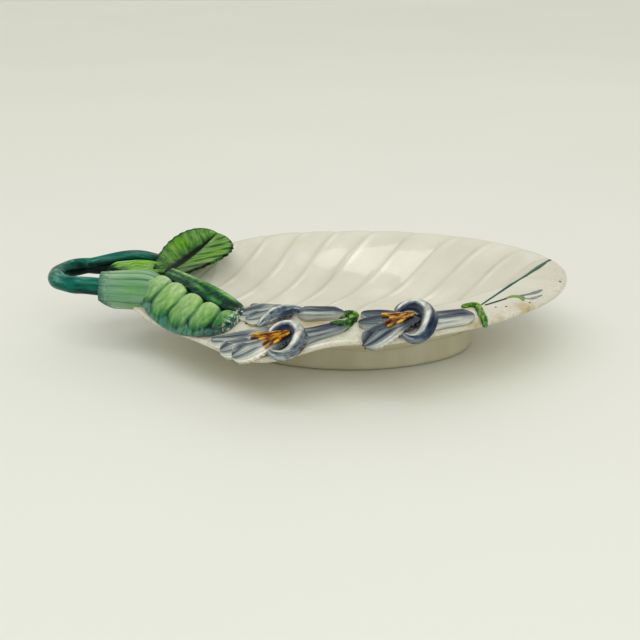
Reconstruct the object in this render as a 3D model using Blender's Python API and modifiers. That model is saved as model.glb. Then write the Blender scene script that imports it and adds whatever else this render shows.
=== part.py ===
"""Leaf dish of glazed earthenware: a veined leaf bowl on an oval foot, with its stalk bent into a loop
handle, three leaves at the stalk and three trumpet flowers on the near lip. +X is the tip of the leaf and
-Y the near lip. Every piece is shaped by itself and luted on, a joint's width from what carries it."""

import math

import bmesh
import bpy
from mathutils import Matrix, Vector

MM = 0.001

# Luting: how far a piece is pressed into its carrier, and the thin joint that stays between them
JOINT = 0.3 * MM
PRESS = 1.4 * MM
SEAT_DEPTH = 16.0 * MM
SEAT_FLARE = 12.0 * MM

# Bowl: plan of the leaf
WIDEST_X = 20.0 * MM
TIP_LENGTH = 126.0 * MM
BASE_LENGTH = 157.0 * MM
HALF_WIDTH = 88.0 * MM
BASE_FULLNESS = 3

# Bowl: section from the floor up to the lip
BOWL_WALL = 5.0 * MM
FLOOR_TOP = 16.0 * MM
RIM_HEIGHT = 48.0 * MM
FLOOR_HALF_WIDTH = 34.0 * MM
LIP_WIDTH = 28.0 * MM
WALL_POWER = 1.2
RIM_ROUND = 1.6 * MM
RIM_ROUND_STEPS = 2

# Bowl: the near side has a flat lip, which turns round the tip, sinks and dips under the front flower; the
# stalk end droops
NEAR_SPAN = 40.0 * MM
TIP_TURN = 23.0 * MM
TIP_TURN_START = 78.0 * MM
TIP_TURN_SPAN = 42.0 * MM
NEAR_SINK = 3.5 * MM
NEAR_DROOP = 1.5 * MM
DIP_DEPTH = 8.0 * MM
DIP_X = -50.0 * MM
DIP_SPAN = 38.0 * MM
STALK_DROOP = 7.0 * MM
STALK_DROOP_START = 40.0 * MM
HANG = 0.8

# Bowl: swells of the near rim under the flowers, as place along the dish, width outward and half span
RIM_SWELLS = (
    (-46.0 * MM, 14.0 * MM, 28.0 * MM),
    (22.0 * MM, 6.0 * MM, 22.0 * MM),
)

# Bowl: lobes between the veins
LOBES = 13
LOBE_SAMPLES = 3
BOWL_ROWS = 8
ROW_CROWDING = 0.85
LOBE_HEIGHT = 1.0 * MM
LOBE_ROUND = 0.7
LOBE_START = 22.0 * MM
LOBE_SCALLOP = 0.5 * MM
SCALLOP_FADE = 6
VEIN_SWEEP_BASE = 0.5
VEIN_SWEEP_TIP = 3.2
MIDRIB_EVENNESS = 0.2

# Oval foot under the bowl
FOOT_X = 14.0 * MM
FOOT_HALF_LENGTH = 75.0 * MM
FOOT_HALF_WIDTH = 45.0 * MM
FOOT_THICKNESS = 7.0 * MM
FOOT_ROUND = 1.2 * MM
FOOT_SEGMENTS = 48

# Ribbed sheath round the stalk end of the bowl
SHEATH_Y = -6.0 * MM
SHEATH_HEIGHT = 39.5 * MM
SHEATH_OVERHANG = 7.5 * MM
SHEATH_LENGTH = 38.0 * MM
SHEATH_START_HALF_WIDTH = 14.0 * MM
SHEATH_END_HALF_WIDTH = 24.0 * MM
SHEATH_RISE = 11.0 * MM
SHEATH_FALL = 10.0 * MM
SHEATH_SLANT = 9.0 * MM
SHEATH_NOSE = 16.0 * MM
SHEATH_NOSE_END = 0.3
SHEATH_RIBS = 8
SHEATH_RIB_DEPTH = 1.5 * MM
SHEATH_SIDES = 32
SHEATH_STATIONS = 8

# Rolled coils: extra points round a quarter of the section
COIL_SIDES = 2

# Loop handle, one rolled coil with a lump in its back run
HANDLE_RADIUS = 5.3 * MM
HANDLE_HEIGHT = 45.8 * MM
HANDLE_DIP = 3.0 * MM
HANDLE_FRONT_Y = -11.0 * MM
HANDLE_SPREAD = 38.0 * MM
HANDLE_RUN = 15.0 * MM
HANDLE_LOOP = 22.0 * MM
HANDLE_TUCK = 8.0 * MM
HANDLE_LANDING_X = -106.0 * MM
HANDLE_LANDING_INSET = 5.5 * MM
HANDLE_END_SHARE = 0.75
HANDLE_LOOP_POINTS = 9
HANDLE_RETURN_POINTS = 8
HANDLE_TAPER = 4
HANDLE_LUMP = 0.35
HANDLE_LUMP_PLACE = 0.87
HANDLE_LUMP_SPAN = 0.06

# Leaf blades: thickness, and the half widths and edge lifts, left and right, and the raised lobes of each
BLADE_THICKNESS = 3.6 * MM
BLADE_ROWS = 3
BLADE_SAMPLES = 3
BLADE_SWEEP = 0.5
BLADE_FULLNESS = 0.75
BLADE_BLUNTNESS = 0.12
BLADE_FOLD = 1.2
UPRIGHT_BASE = (-106.0 * MM, 11.0 * MM)
UPRIGHT_MIDDLE = (-93.0 * MM, 46.0 * MM)
UPRIGHT_END = (-75.5 * MM, 60.0 * MM)
UPRIGHT_BASE_HEIGHT = 45.5 * MM
UPRIGHT_TIP_HEIGHT = 56.5 * MM
UPRIGHT_WIDTHS = (18.5 * MM, 27.0 * MM)
UPRIGHT_LIFTS = (7.5 * MM, 4.0 * MM)
UPRIGHT_LOBES = 6
UPRIGHT_PUFF = 0.8 * MM
FOLDED_BASE = (-107.0 * MM, 1.0 * MM)
FOLDED_MIDDLE = (-83.0 * MM, -40.0 * MM)
FOLDED_END = (-57.0 * MM, -57.0 * MM)
FOLDED_BASE_HEIGHT = 47.5 * MM
FOLDED_HEIGHT = 46.5 * MM
FOLDED_TIP_HEIGHT = 41.0 * MM
FOLDED_WIDTHS = (7.0 * MM, 29.0 * MM)
FOLDED_LIFTS = (3.0 * MM, -12.0 * MM)
FOLDED_FULLNESS = 0.42
FOLDED_ROWS = 5
FOLDED_SAMPLES = 4
FOLDED_PUFF = 5.5 * MM
FOLDED_LOBES = 5
FOLDED_LOBE_HALF = 0.135
FOLDED_LOBE_OUT = 0.44
FOLDED_LOBE_REACH = 0.44
SMALL_BASE = (-106.0 * MM, 13.0 * MM)
SMALL_MIDDLE = (-122.0 * MM, 16.0 * MM)
SMALL_END = (-144.0 * MM, 9.0 * MM)
SMALL_HEIGHT = 46.5 * MM
SMALL_WIDTHS = (8.0 * MM, 8.0 * MM)
SMALL_LIFTS = (3.5 * MM, 4.5 * MM)
SMALL_LOBES = 4
SMALL_PUFF = 0.4 * MM

# Trumpet flowers: place of each along the lip, its inset from the rim and its turn on the lip in degrees;
# then, along the lip and outward, its throat and both ends of its tube, and the tube's half width
FLOWERS = {
    "flower_1": {
        "x": -32.0 * MM, "inset": 12.0 * MM, "turn": 18.0, "throat": (4.0 * MM, 1.0 * MM),
        "mouth": (5.0 * MM, 4.0 * MM), "tail": (34.0 * MM, 1.5 * MM), "tube_half_width": 5.4 * MM,
    },
    "flower_2": {
        "x": -31.0 * MM, "inset": 29.0 * MM, "turn": 8.0, "throat": (3.0 * MM, -3.0 * MM),
        "mouth": (6.0 * MM, -2.5 * MM), "tail": (33.0 * MM, -2.0 * MM), "tube_half_width": 5.6 * MM,
    },
    "flower_3": {
        "x": 35.0 * MM, "inset": 8.0 * MM, "turn": 6.0, "throat": (6.0 * MM, -4.0 * MM),
        "mouth": (10.0 * MM, -2.5 * MM), "tail": (40.0 * MM, -0.5 * MM), "tube_half_width": 9.0 * MM,
    },
}
# Petals of each flower, the uppermost first: degrees round from the tube's line, outward positive, length and
# half width
PETALS = {
    "flower_1": {
        "front": (6.0, 35.0 * MM, 9.5 * MM),
        "middle": (-6.0, 41.0 * MM, 9.0 * MM),
        "back": (-18.0, 47.0 * MM, 8.5 * MM),
    },
    "flower_2": {
        "front": (0.0, 27.0 * MM, 7.0 * MM),
        "middle": (-12.0, 33.0 * MM, 7.0 * MM),
        "back": (-25.0, 28.0 * MM, 7.0 * MM),
    },
    "flower_3": {
        "front": (22.0, 37.0 * MM, 8.5 * MM),
        "middle": (-12.0, 32.0 * MM, 8.5 * MM),
        "back": (-36.0, 32.0 * MM, 8.0 * MM),
    },
}
PETAL_THICKNESS = 3.2 * MM
PETAL_ARCH = 2.4 * MM
PETAL_CURL = 1.0 * MM
PETAL_LAYER = 0.6 * MM
PETAL_LOBES = 3
PETAL_SAMPLES = 2
PETAL_PUFF = 0.4 * MM
TUBE_HALF_HEIGHT = 4.4 * MM
TUBE_END_RADIUS = 3.5 * MM
TUBE_TAIL = 3.0 * MM
TUBE_TAIL_STEPS = 3
TUBE_MOUTH_RADIUS = 5.5 * MM
TUBE_WALL = 1.8 * MM
TUBE_MOUTH_HEIGHT = 1.6 * MM
TUBE_SIDES = 16
THROAT_DEPTH = 12.0 * MM
# Rolled petal of each flower, an arc of an oval on the lip: its middle along the lip and outward, half depth
# and half span, its tilt and the two ends of the arc in degrees, the coil's radius and its height at the top
ROLLS = {
    "flower_1": {
        "middle": (-3.0 * MM, 5.0 * MM), "depth": 9.5 * MM, "span": 12.5 * MM, "tilt": 0.0,
        "ends": (140.0, -125.0), "radius": 4.2 * MM, "top": 4.6 * MM,
    },
    "flower_2": {
        "middle": (7.0 * MM, 25.0 * MM), "depth": 30.0 * MM, "span": 30.0 * MM, "tilt": 0.0,
        "ends": (-138.0, -88.0), "radius": 3.2 * MM, "top": 4.0 * MM,
    },
    "flower_3": {
        "middle": (3.0 * MM, -3.0 * MM), "depth": 10.0 * MM, "span": 17.0 * MM, "tilt": 13.0,
        "ends": (115.0, -125.0), "radius": 4.2 * MM, "top": 6.0 * MM,
    },
}
ROLL_END_SHARE = 0.5
ROLL_END_HEIGHT = 2.8 * MM
ROLL_POINTS = 13
# Stamens of each flower that shows its throat: their root along the lip and outward, and two prongs by degrees
# round, outward positive, and length
STAMENS = {
    "flower_1": {"root": (1.0 * MM, 3.5 * MM), "prongs": ((-15.0, 21.0 * MM), (23.0, 16.0 * MM))},
    "flower_3": {"root": (4.5 * MM, -4.3 * MM), "prongs": ((-11.0, 17.0 * MM), (23.0, 20.0 * MM))},
}
STAMEN_ROOTS = (0.9 * MM, -0.6 * MM)
STAMEN_RADIUS = 1.8 * MM
STAMEN_HEIGHT = 6.6 * MM
STAMEN_SIDES = 8
STAMEN_RINGS = 6

# Green sepals between the flowers: a hook with a tail, and a band with a bent end
CURL_X = 3.0 * MM
CURL_INSET = 23.0 * MM
CURL_RADIUS = 3.7 * MM
CURL_ENDS = (-160.0, 30.0)
CURL_TAIL = 14.0 * MM
WRAP_X = 79.0 * MM
WRAP_INNER_INSET = 18.0 * MM
WRAP_OUTER_INSET = -3.5 * MM
WRAP_BEND = 4.0 * MM
WRAP_RUN = 3.0 * MM
SEPAL_RADIUS = 2.3 * MM
SEPAL_POINTS = 9

WELD = 0.01 * MM
SMOOTH_ANGLE = math.radians(50.0)
REACH_STEPS = 40
NEAR = -1

GLAZE_ROUGHNESS = 0.15
WHITE_GLAZE = (0.80, 0.78, 0.70)
FOOT_GLAZE = (0.76, 0.74, 0.66)
STALK_GREEN = (0.02, 0.17, 0.13)
SHEATH_GREEN = (0.30, 0.50, 0.28)
LEAF_GREEN = (0.14, 0.34, 0.06)
PALE_LEAF_GREEN = (0.24, 0.45, 0.12)
PETAL_GREY = (0.42, 0.44, 0.52)
PETAL_BLUE = (0.20, 0.24, 0.36)
STAMEN_ORANGE = (0.55, 0.24, 0.03)
SEPAL_GREEN = (0.08, 0.28, 0.03)


def clear_scene():
    for obj in list(bpy.data.objects):
        bpy.data.objects.remove(obj)


def collection(name, hidden=False):
    made = bpy.data.collections.new(name)
    made.hide_render = hidden
    bpy.context.scene.collection.children.link(made)
    return made


def glaze(name, colour):
    made = bpy.data.materials.new(name)
    made.use_nodes = True
    shader = made.node_tree.nodes["Principled BSDF"]
    shader.inputs["Base Color"].default_value = (*colour, 1.0)
    shader.inputs["Roughness"].default_value = GLAZE_ROUGHNESS
    shader.inputs["Metallic"].default_value = 0.0
    return made


def smooth(share):
    """Eased step from 0 to 1."""
    share = min(max(share, 0.0), 1.0)
    return share * share * (3 - 2 * share)


def near_stretch(x):
    """How much wider the near half of the leaf is at a station, where its rim swells under the flowers."""
    swell = sum(width * math.exp(-(((x - middle) / span) ** 2)) for middle, width, span in RIM_SWELLS)
    return 1 + swell / HALF_WIDTH


def rim_half_width(x):
    """Half width of the leaf's outline at a station along the dish, without the swells of its near rim."""
    if x >= WIDEST_X:
        along = min((x - WIDEST_X) / TIP_LENGTH, 1.0)
        return HALF_WIDTH * math.sqrt(1 - along**2)
    along = min((WIDEST_X - x) / BASE_LENGTH, 1.0)
    return HALF_WIDTH * (1 - along**BASE_FULLNESS)


def reach(x, y):
    """Distance of a plan point from the middle of the bowl, as a share of the way to the rim."""
    across = y / HALF_WIDTH if y > 0 else -y / (HALF_WIDTH * near_stretch(x))
    if x >= WIDEST_X:
        return math.hypot((x - WIDEST_X) / TIP_LENGTH, across)
    along = (WIDEST_X - x) / BASE_LENGTH
    share = max(along, across)
    for _ in range(REACH_STEPS):
        share = (across * share ** (BASE_FULLNESS - 1) + along**BASE_FULLNESS) ** (1 / BASE_FULLNESS)
    return share


def wall_place(x, y):
    """Place of a plan point on the bowl: its reach, how much it belongs to the near side, the reach of the
    crest there, and how far up the wall it is."""
    share = reach(x, y)
    turn = TIP_TURN * smooth((x - WIDEST_X - TIP_TURN_START) / TIP_TURN_SPAN)
    near = smooth((turn - y) / NEAR_SPAN)
    floor_share = FLOOR_HALF_WIDTH / HALF_WIDTH
    crest_share = 1 - near * LIP_WIDTH / HALF_WIDTH
    climb = min(max((share - floor_share) / (crest_share - floor_share), 0.0), 1.0)
    return share, near, crest_share, climb


def bowl_height(x, y):
    """Height of the bowl's upper face without its lobes; outside the rim it falls as hanging clay does."""
    share, near, crest_share, climb = wall_place(x, y)
    sunk = near * (1 - smooth((x - WIDEST_X) / TIP_LENGTH))
    wall = (1 - math.cos(math.pi * climb**WALL_POWER)) / 2
    crest = RIM_HEIGHT - NEAR_SINK * sunk
    over = min(max((share - crest_share) * HALF_WIDTH / LIP_WIDTH, 0.0), 1.0)
    dip = DIP_DEPTH * math.exp(-(((x - DIP_X) / DIP_SPAN) ** 2))
    droop = sunk * (NEAR_DROOP + dip) * math.sin(math.pi / 2 * over)
    stalk = smooth((WIDEST_X - STALK_DROOP_START - x) / (BASE_LENGTH - STALK_DROOP_START))
    bend = STALK_DROOP * stalk * smooth(1 + (share - 1) * HALF_WIDTH / LIP_WIDTH)
    hang = HANG * max(share - 1, 0.0) * HALF_WIDTH
    return FLOOR_TOP + (crest - FLOOR_TOP) * wall - droop - bend - hang


def lobe(along, count, roundness):
    """Swell of a lobe between two sharp veins."""
    return abs(math.sin(math.pi * along * count)) ** roundness


def bowl_point(along, across):
    """Point of the bowl's upper face: along runs from stalk to tip, across from one rim to the other by the
    veins. The lobes fade out up the near wall, so that the near lip is smooth."""
    if along > 0.5:
        rim_x = WIDEST_X + TIP_LENGTH * math.cos(math.pi * (1 - along))
    else:
        rim_x = WIDEST_X + BASE_LENGTH * (2 * along - 1)
    midrib_share = MIDRIB_EVENNESS * along + (1 - MIDRIB_EVENNESS) * along**2
    midrib_x = WIDEST_X - BASE_LENGTH + (BASE_LENGTH + TIP_LENGTH) * midrib_share
    share = abs(across) ** ROW_CROWDING
    sweep = VEIN_SWEEP_BASE + (VEIN_SWEEP_TIP - VEIN_SWEEP_BASE) * along**2
    x = midrib_x + (rim_x - midrib_x) * share**sweep
    width = rim_half_width(rim_x)
    side = 1.0 if across > 0 else NEAR * near_stretch(x)
    y = side * width * share
    _, near, _, climb = wall_place(x, y)
    swell = lobe(along, LOBES, LOBE_ROUND) * (1 - near * smooth(climb))
    scallop = LOBE_SCALLOP * swell * share**SCALLOP_FADE * math.sin(math.pi * along)
    height = bowl_height(x, y) + LOBE_HEIGHT * swell * smooth(share * width / LOBE_START)
    return Vector((x, y + side * scallop, height))


def sheet(columns, rows, place):
    """Sheet whose points come from place(along, across); edges that meet are welded."""
    made = bmesh.new()
    bmesh.ops.create_grid(made, x_segments=columns, y_segments=rows, size=1.0)
    for vert in made.verts:
        vert.co = place((vert.co.x + 1) / 2, vert.co.y)
    bmesh.ops.remove_doubles(made, verts=made.verts, dist=WELD)
    bmesh.ops.triangulate(made, faces=made.faces)
    return made


def as_object(name, shape):
    mesh = bpy.data.meshes.new(name)
    shape.to_mesh(mesh)
    shape.free()
    made = bpy.data.objects.new(name, mesh)
    parts.objects.link(made)
    return made


def thicken(obj, thickness):
    wall = obj.modifiers.new("Wall", "SOLIDIFY")
    wall.thickness = thickness
    wall.offset = -1.0


def round_edges(obj, width, segments):
    edge = obj.modifiers.new("Rounded edge", "BEVEL")
    edge.width = width
    edge.segments = segments
    edge.limit_method = "ANGLE"
    edge.angle_limit = SMOOTH_ANGLE


def settled(obj):
    """The object as one plain mesh, with its modifiers applied and any offcut thrown away."""
    graph = bpy.context.evaluated_depsgraph_get()
    mesh = bpy.data.meshes.new_from_object(obj.evaluated_get(graph))
    shape = bmesh.new()
    shape.from_mesh(mesh)
    bodies = loose_bodies(shape)
    largest = max(bodies, key=body_size)
    offcuts = [face for body in bodies if body is not largest for face in body]
    bmesh.ops.delete(shape, geom=offcuts, context="FACES")
    shape.to_mesh(mesh)
    shape.free()
    name, place = obj.name, obj.matrix_basis.copy()
    bpy.data.objects.remove(obj)
    made = bpy.data.objects.new(name, mesh)
    made.matrix_basis = place
    parts.objects.link(made)
    return made


def loose_bodies(shape):
    """Faces of a mesh, grouped by the bodies that their shared edges make."""
    left = set(shape.faces)
    bodies = []
    while left:
        frontier = [left.pop()]
        body = []
        while frontier:
            face = frontier.pop()
            body.append(face)
            for edge in face.edges:
                for other in edge.link_faces:
                    if other in left:
                        left.remove(other)
                        frontier.append(other)
        bodies.append(body)
    return bodies


def body_size(body):
    """Volume of the box round a body."""
    corners = [vert.co for face in body for vert in face.verts]
    size = 1.0
    for axis in range(3):
        size *= max(corner[axis] for corner in corners) - min(corner[axis] for corner in corners)
    return size


def box_of(obj):
    corners = [obj.matrix_basis @ vert.co for vert in obj.data.vertices]
    low = [min(corner[axis] for corner in corners) for axis in range(3)]
    high = [max(corner[axis] for corner in corners) for axis in range(3)]
    return low, high


def boxes_meet(first, second):
    (low_a, high_a), (low_b, high_b) = box_of(first), box_of(second)
    return all(low_a[axis] < high_b[axis] + JOINT and low_b[axis] < high_a[axis] + JOINT for axis in range(3))


def cutter_from(obj):
    """Copy of a piece, a joint's width larger all round, that later pieces are cut by."""
    made = bpy.data.objects.new(obj.name + "_joint", obj.data.copy())
    cutters.objects.link(made)
    made.matrix_basis = obj.matrix_basis.copy()
    made.hide_render = True
    made.display_type = "WIRE"
    swell = made.modifiers.new("Joint", "DISPLACE")
    swell.strength = JOINT
    swell.mid_level = 0.0
    return made


def lute(obj, colour, carriers, cutter=None):
    """Cuts a piece back to a joint's width from each carrier it is pressed into, and gives the cutter for
    later pieces: the whole piece, unless another is given."""
    obj = settled(obj)
    cutter = cutter or cutter_from(obj)
    for carrier in carriers:
        if boxes_meet(obj, carrier):
            cut = obj.modifiers.new("Joint to " + carrier.name, "BOOLEAN")
            cut.operation = "DIFFERENCE"
            cut.solver = "MANIFOLD"
            cut.object = carrier
    obj = settled(obj)
    obj.data.shade_smooth()
    obj.data.set_sharp_from_angle(angle=SMOOTH_ANGLE)
    obj.data.materials.clear()
    obj.data.materials.append(glaze(obj.name + "_glaze", colour))
    obj.parent = root
    return cutter


def tube_along(name, points, radius, sides, taper=None):
    """Round coil of clay along a run of points."""
    curve = bpy.data.curves.new(name, "CURVE")
    curve.dimensions = "3D"
    curve.bevel_depth = radius
    curve.bevel_resolution = sides
    curve.use_fill_caps = True
    line = curve.splines.new("POLY")
    line.points.add(len(points) - 1)
    for index, (spot, point) in enumerate(zip(line.points, points)):
        spot.co = (*point, 1.0)
        spot.radius = taper(index / (len(points) - 1)) if taper else 1.0
    guide = bpy.data.objects.new(name, curve)
    parts.objects.link(guide)
    graph = bpy.context.evaluated_depsgraph_get()
    shape = bmesh.new()
    shape.from_mesh(bpy.data.meshes.new_from_object(guide.evaluated_get(graph)))
    bmesh.ops.remove_doubles(shape, verts=shape.verts, dist=WELD)
    bpy.data.objects.remove(guide)
    return as_object(name, shape)


def sink(shape, depth, flare=0.0):
    """Makes a sheet a solid that goes straight down, and outward from the bowl's middle by its flare."""
    under = bmesh.ops.extrude_face_region(shape, geom=shape.faces[:])["geom"]
    sunk = [item for item in under if isinstance(item, bmesh.types.BMVert)]
    bmesh.ops.translate(shape, vec=(0.0, 0.0, -depth), verts=sunk)
    spread = 1 + flare / HALF_WIDTH
    about_middle = Matrix.Translation((-WIDEST_X, 0.0, 0.0))
    bmesh.ops.scale(shape, vec=(spread, spread, 1.0), space=about_middle, verts=sunk)
    bmesh.ops.recalc_face_normals(shape, faces=shape.faces)


def deep_cutter(name, shape, flare=0.0):
    """Cutter that is a sheet sunk so deep that no offcut of a later piece stays under it."""
    sink(shape, SEAT_DEPTH, flare)
    block = as_object(name, shape)
    cutter = cutter_from(block)
    bpy.data.objects.remove(block)
    return cutter


def bowl_sheet():
    return sheet(LOBES * LOBE_SAMPLES, 2 * BOWL_ROWS, bowl_point)


def dish_bowl():
    bowl = as_object("dish_bowl", bowl_sheet())
    thicken(bowl, BOWL_WALL)
    round_edges(bowl, RIM_ROUND, RIM_ROUND_STEPS)
    return lute(bowl, WHITE_GLAZE, [])


def foot_ring(carriers):
    """Oval ring whose top is pressed into the bowl's wall all round."""
    section = (
        (0.0, None),
        (0.0, FOOT_ROUND),
        (FOOT_ROUND, 0.0),
        (FOOT_THICKNESS - FOOT_ROUND, 0.0),
        (FOOT_THICKNESS, FOOT_ROUND),
        (FOOT_THICKNESS, None),
    )

    def place(along, across):
        inset, height = section[round((across + 1) / 2 * len(section)) % len(section)]
        turn = 2 * math.pi * along
        x = FOOT_X + (FOOT_HALF_LENGTH - inset) * math.cos(turn)
        y = (FOOT_HALF_WIDTH - inset) * math.sin(turn)
        top = bowl_height(x, y) - BOWL_WALL / 2
        return Vector((x, y, top if height is None else height))

    shape = sheet(FOOT_SEGMENTS, len(section), place)
    bmesh.ops.recalc_face_normals(shape, faces=shape.faces)
    return lute(as_object("foot_ring", shape), FOOT_GLAZE, carriers)


def stem_sheath(carriers):
    """Ribbed clay round the stalk end, cut off aslant there, which widens to a blunt nose in the bowl."""
    start_x = WIDEST_X - BASE_LENGTH - SHEATH_OVERHANG

    def place(along, across):
        run = SHEATH_LENGTH * along
        past = max((run - SHEATH_LENGTH + SHEATH_NOSE) / SHEATH_NOSE, 0.0)
        nose = SHEATH_NOSE_END + (1 - SHEATH_NOSE_END) * math.sqrt(1 - past**2)
        turn = math.pi * across
        spread = SHEATH_START_HALF_WIDTH + (SHEATH_END_HALF_WIDTH - SHEATH_START_HALF_WIDTH) * along
        upward = math.sin(turn) > 0
        rib = SHEATH_RIB_DEPTH * lobe(across, SHEATH_RIBS, LOBE_ROUND) if upward else 0.0
        height = (SHEATH_RISE if upward else SHEATH_FALL) + rib
        y = SHEATH_Y + (spread + rib) * math.cos(turn) * nose
        slant = SHEATH_SLANT * smooth(-math.sin(turn)) * (1 - along)
        return Vector((start_x + run + slant, y, SHEATH_HEIGHT + height * math.sin(turn) * nose))

    shape = sheet(SHEATH_STATIONS, SHEATH_SIDES, place)
    ends = [edge for edge in shape.edges if edge.is_boundary]
    caps = bmesh.ops.holes_fill(shape, edges=ends)["faces"]
    bmesh.ops.poke(shape, faces=caps)
    bmesh.ops.recalc_face_normals(shape, faces=shape.faces)
    return lute(as_object("stem_sheath", shape), SHEATH_GREEN, carriers)


def stem_handle(carriers):
    base_x = WIDEST_X - BASE_LENGTH
    loop_x = base_x - HANDLE_RUN
    points = [Vector((base_x + HANDLE_TUCK, HANDLE_FRONT_Y, HANDLE_HEIGHT - HANDLE_DIP))]
    for step in range(HANDLE_LOOP_POINTS + 1):
        turn = math.pi * step / HANDLE_LOOP_POINTS
        y = HANDLE_FRONT_Y + HANDLE_SPREAD / 2 * (1 - math.cos(turn))
        points.append(Vector((loop_x - HANDLE_LOOP * math.sin(turn), y, HANDLE_HEIGHT)))
    landing_y = rim_half_width(HANDLE_LANDING_X) - HANDLE_LANDING_INSET
    landing_z = bowl_height(HANDLE_LANDING_X, landing_y) + HANDLE_END_SHARE * HANDLE_RADIUS - PRESS
    landing = Vector((HANDLE_LANDING_X, landing_y, landing_z))
    last = points[-1]
    for step in range(HANDLE_RETURN_POINTS):
        points.append(last.lerp(landing, (step + 1) / HANDLE_RETURN_POINTS))

    def taper(share):
        lump = HANDLE_LUMP * math.exp(-(((share - HANDLE_LUMP_PLACE) / HANDLE_LUMP_SPAN) ** 2))
        return 1 - (1 - HANDLE_END_SHARE) * share**HANDLE_TAPER + lump

    return lute(tube_along("stem_handle", points, HANDLE_RADIUS, COIL_SIDES, taper), STALK_GREEN, carriers)


def blade(spine, widths, lifts, fullness, cells, swell, settle):
    """Upper face of a leaf or petal along a bent spine, with so many cells along and across: widths and lifts
    are those of its left and right edge, swell(along, edge, left) is its relief, and settle(height, below) sets
    its height over the bowl."""
    start, bend, end = spine

    def along_spine(share):
        rest = 1 - share
        return start * rest**2 + bend * (2 * rest * share) + end * share**2

    def heading(share):
        line = (bend - start) * (1 - share) + (end - bend) * share
        return Vector((line.x, line.y, 0.0)).normalized()

    def place(along, across):
        edge = abs(across)
        left = across > 0
        width, lift = (form[0 if left else 1] for form in (widths, lifts))
        swept = along + BLADE_SWEEP * edge * along * (1 - along)
        ahead = heading(swept)
        ripe = BLADE_BLUNTNESS + (1 - BLADE_BLUNTNESS) * along
        spread = math.sin(math.pi * ripe) ** fullness if along < 1 else 0.0
        out = Vector((-ahead.y, ahead.x, 0.0)) * math.copysign(width * spread * edge, across)
        point = along_spine(swept) + out
        raised = point.z + lift * spread * edge**BLADE_FOLD
        point.z = settle(raised, bowl_height(point.x, point.y)) + swell(along, edge, left) * spread
        return point

    return sheet(*cells, place)


def side_veins(lobes, puff):
    """Relief of a blade that swells in lobes between its side veins."""

    def swell(along, edge, left):
        return puff * lobe(along, lobes, LOBE_ROUND) * math.sin(math.pi * edge)

    return swell


def egg_lobes(along, edge, left):
    """Relief of the folded leaf: its outer half is a row of puffed eggs that meet in creases."""
    if left:
        return 0.0
    out = (edge - FOLDED_LOBE_OUT) / FOLDED_LOBE_REACH
    eggs = [0.0]
    for number in range(FOLDED_LOBES):
        past = (along - (number + 0.5) / FOLDED_LOBES) / FOLDED_LOBE_HALF
        eggs.append(1 - past**2 - out**2)
    return FOLDED_PUFF * math.sqrt(max(eggs))


def leaf(name, colour, form, carriers):
    """Leaf that lies no lower than clay that rests on the bowl's lobes."""

    def settle(height, below):
        return max(height, below + LOBE_HEIGHT + BLADE_THICKNESS - PRESS)

    made = as_object(name, blade(*form, settle))
    thicken(made, BLADE_THICKNESS)
    return lute(made, colour, carriers)


def plan_point(plan, height):
    return Vector((*plan, height))


def upright_leaf(carriers):
    middle = bowl_height(*UPRIGHT_MIDDLE) + BLADE_THICKNESS - PRESS
    spine = (
        plan_point(UPRIGHT_BASE, UPRIGHT_BASE_HEIGHT),
        plan_point(UPRIGHT_MIDDLE, middle),
        plan_point(UPRIGHT_END, UPRIGHT_TIP_HEIGHT),
    )
    cells = (UPRIGHT_LOBES * BLADE_SAMPLES, 2 * BLADE_ROWS)
    veins = side_veins(UPRIGHT_LOBES, UPRIGHT_PUFF)
    form = (spine, UPRIGHT_WIDTHS, UPRIGHT_LIFTS, BLADE_FULLNESS, cells, veins)
    return leaf("upright_leaf", LEAF_GREEN, form, carriers)


def folded_leaf(carriers):
    spine = (
        plan_point(FOLDED_BASE, FOLDED_BASE_HEIGHT),
        plan_point(FOLDED_MIDDLE, FOLDED_HEIGHT),
        plan_point(FOLDED_END, FOLDED_TIP_HEIGHT),
    )
    cells = (FOLDED_LOBES * FOLDED_SAMPLES, 2 * FOLDED_ROWS)
    form = (spine, FOLDED_WIDTHS, FOLDED_LIFTS, FOLDED_FULLNESS, cells, egg_lobes)
    return leaf("folded_leaf", LEAF_GREEN, form, carriers)


def small_leaf(carriers):
    spine = [plan_point(plan, SMALL_HEIGHT) for plan in (SMALL_BASE, SMALL_MIDDLE, SMALL_END)]
    cells = (SMALL_LOBES * BLADE_SAMPLES, 2 * BLADE_ROWS)
    veins = side_veins(SMALL_LOBES, SMALL_PUFF)
    form = (spine, SMALL_WIDTHS, SMALL_LIFTS, BLADE_FULLNESS, cells, veins)
    return leaf("small_leaf", PALE_LEAF_GREEN, form, carriers)


def lip_frame(x, inset, turn=0.0):
    """Plan origin on the near lip, with the directions along the rim to the tip and out over the rim."""
    y = NEAR * (rim_half_width(x) * near_stretch(x) - inset)
    fall = NEAR * (rim_half_width(x + LIP_WIDTH) - rim_half_width(x - LIP_WIDTH))
    angle = math.atan2(fall, 2 * LIP_WIDTH) + math.radians(turn)
    ahead = Vector((math.cos(angle), math.sin(angle)))
    return Vector((x, y)), ahead, Vector((ahead.y, -ahead.x))


def lip_plan(frame, along, outward):
    origin, ahead, out = frame
    return origin + ahead * along + out * outward


def on_lip(frame, along, outward, height):
    """Point over the lip: along the rim and outward in plan, and up from the bowl's upper face."""
    plan = lip_plan(frame, along, outward)
    return Vector((plan.x, plan.y, bowl_height(plan.x, plan.y) + height))


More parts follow.
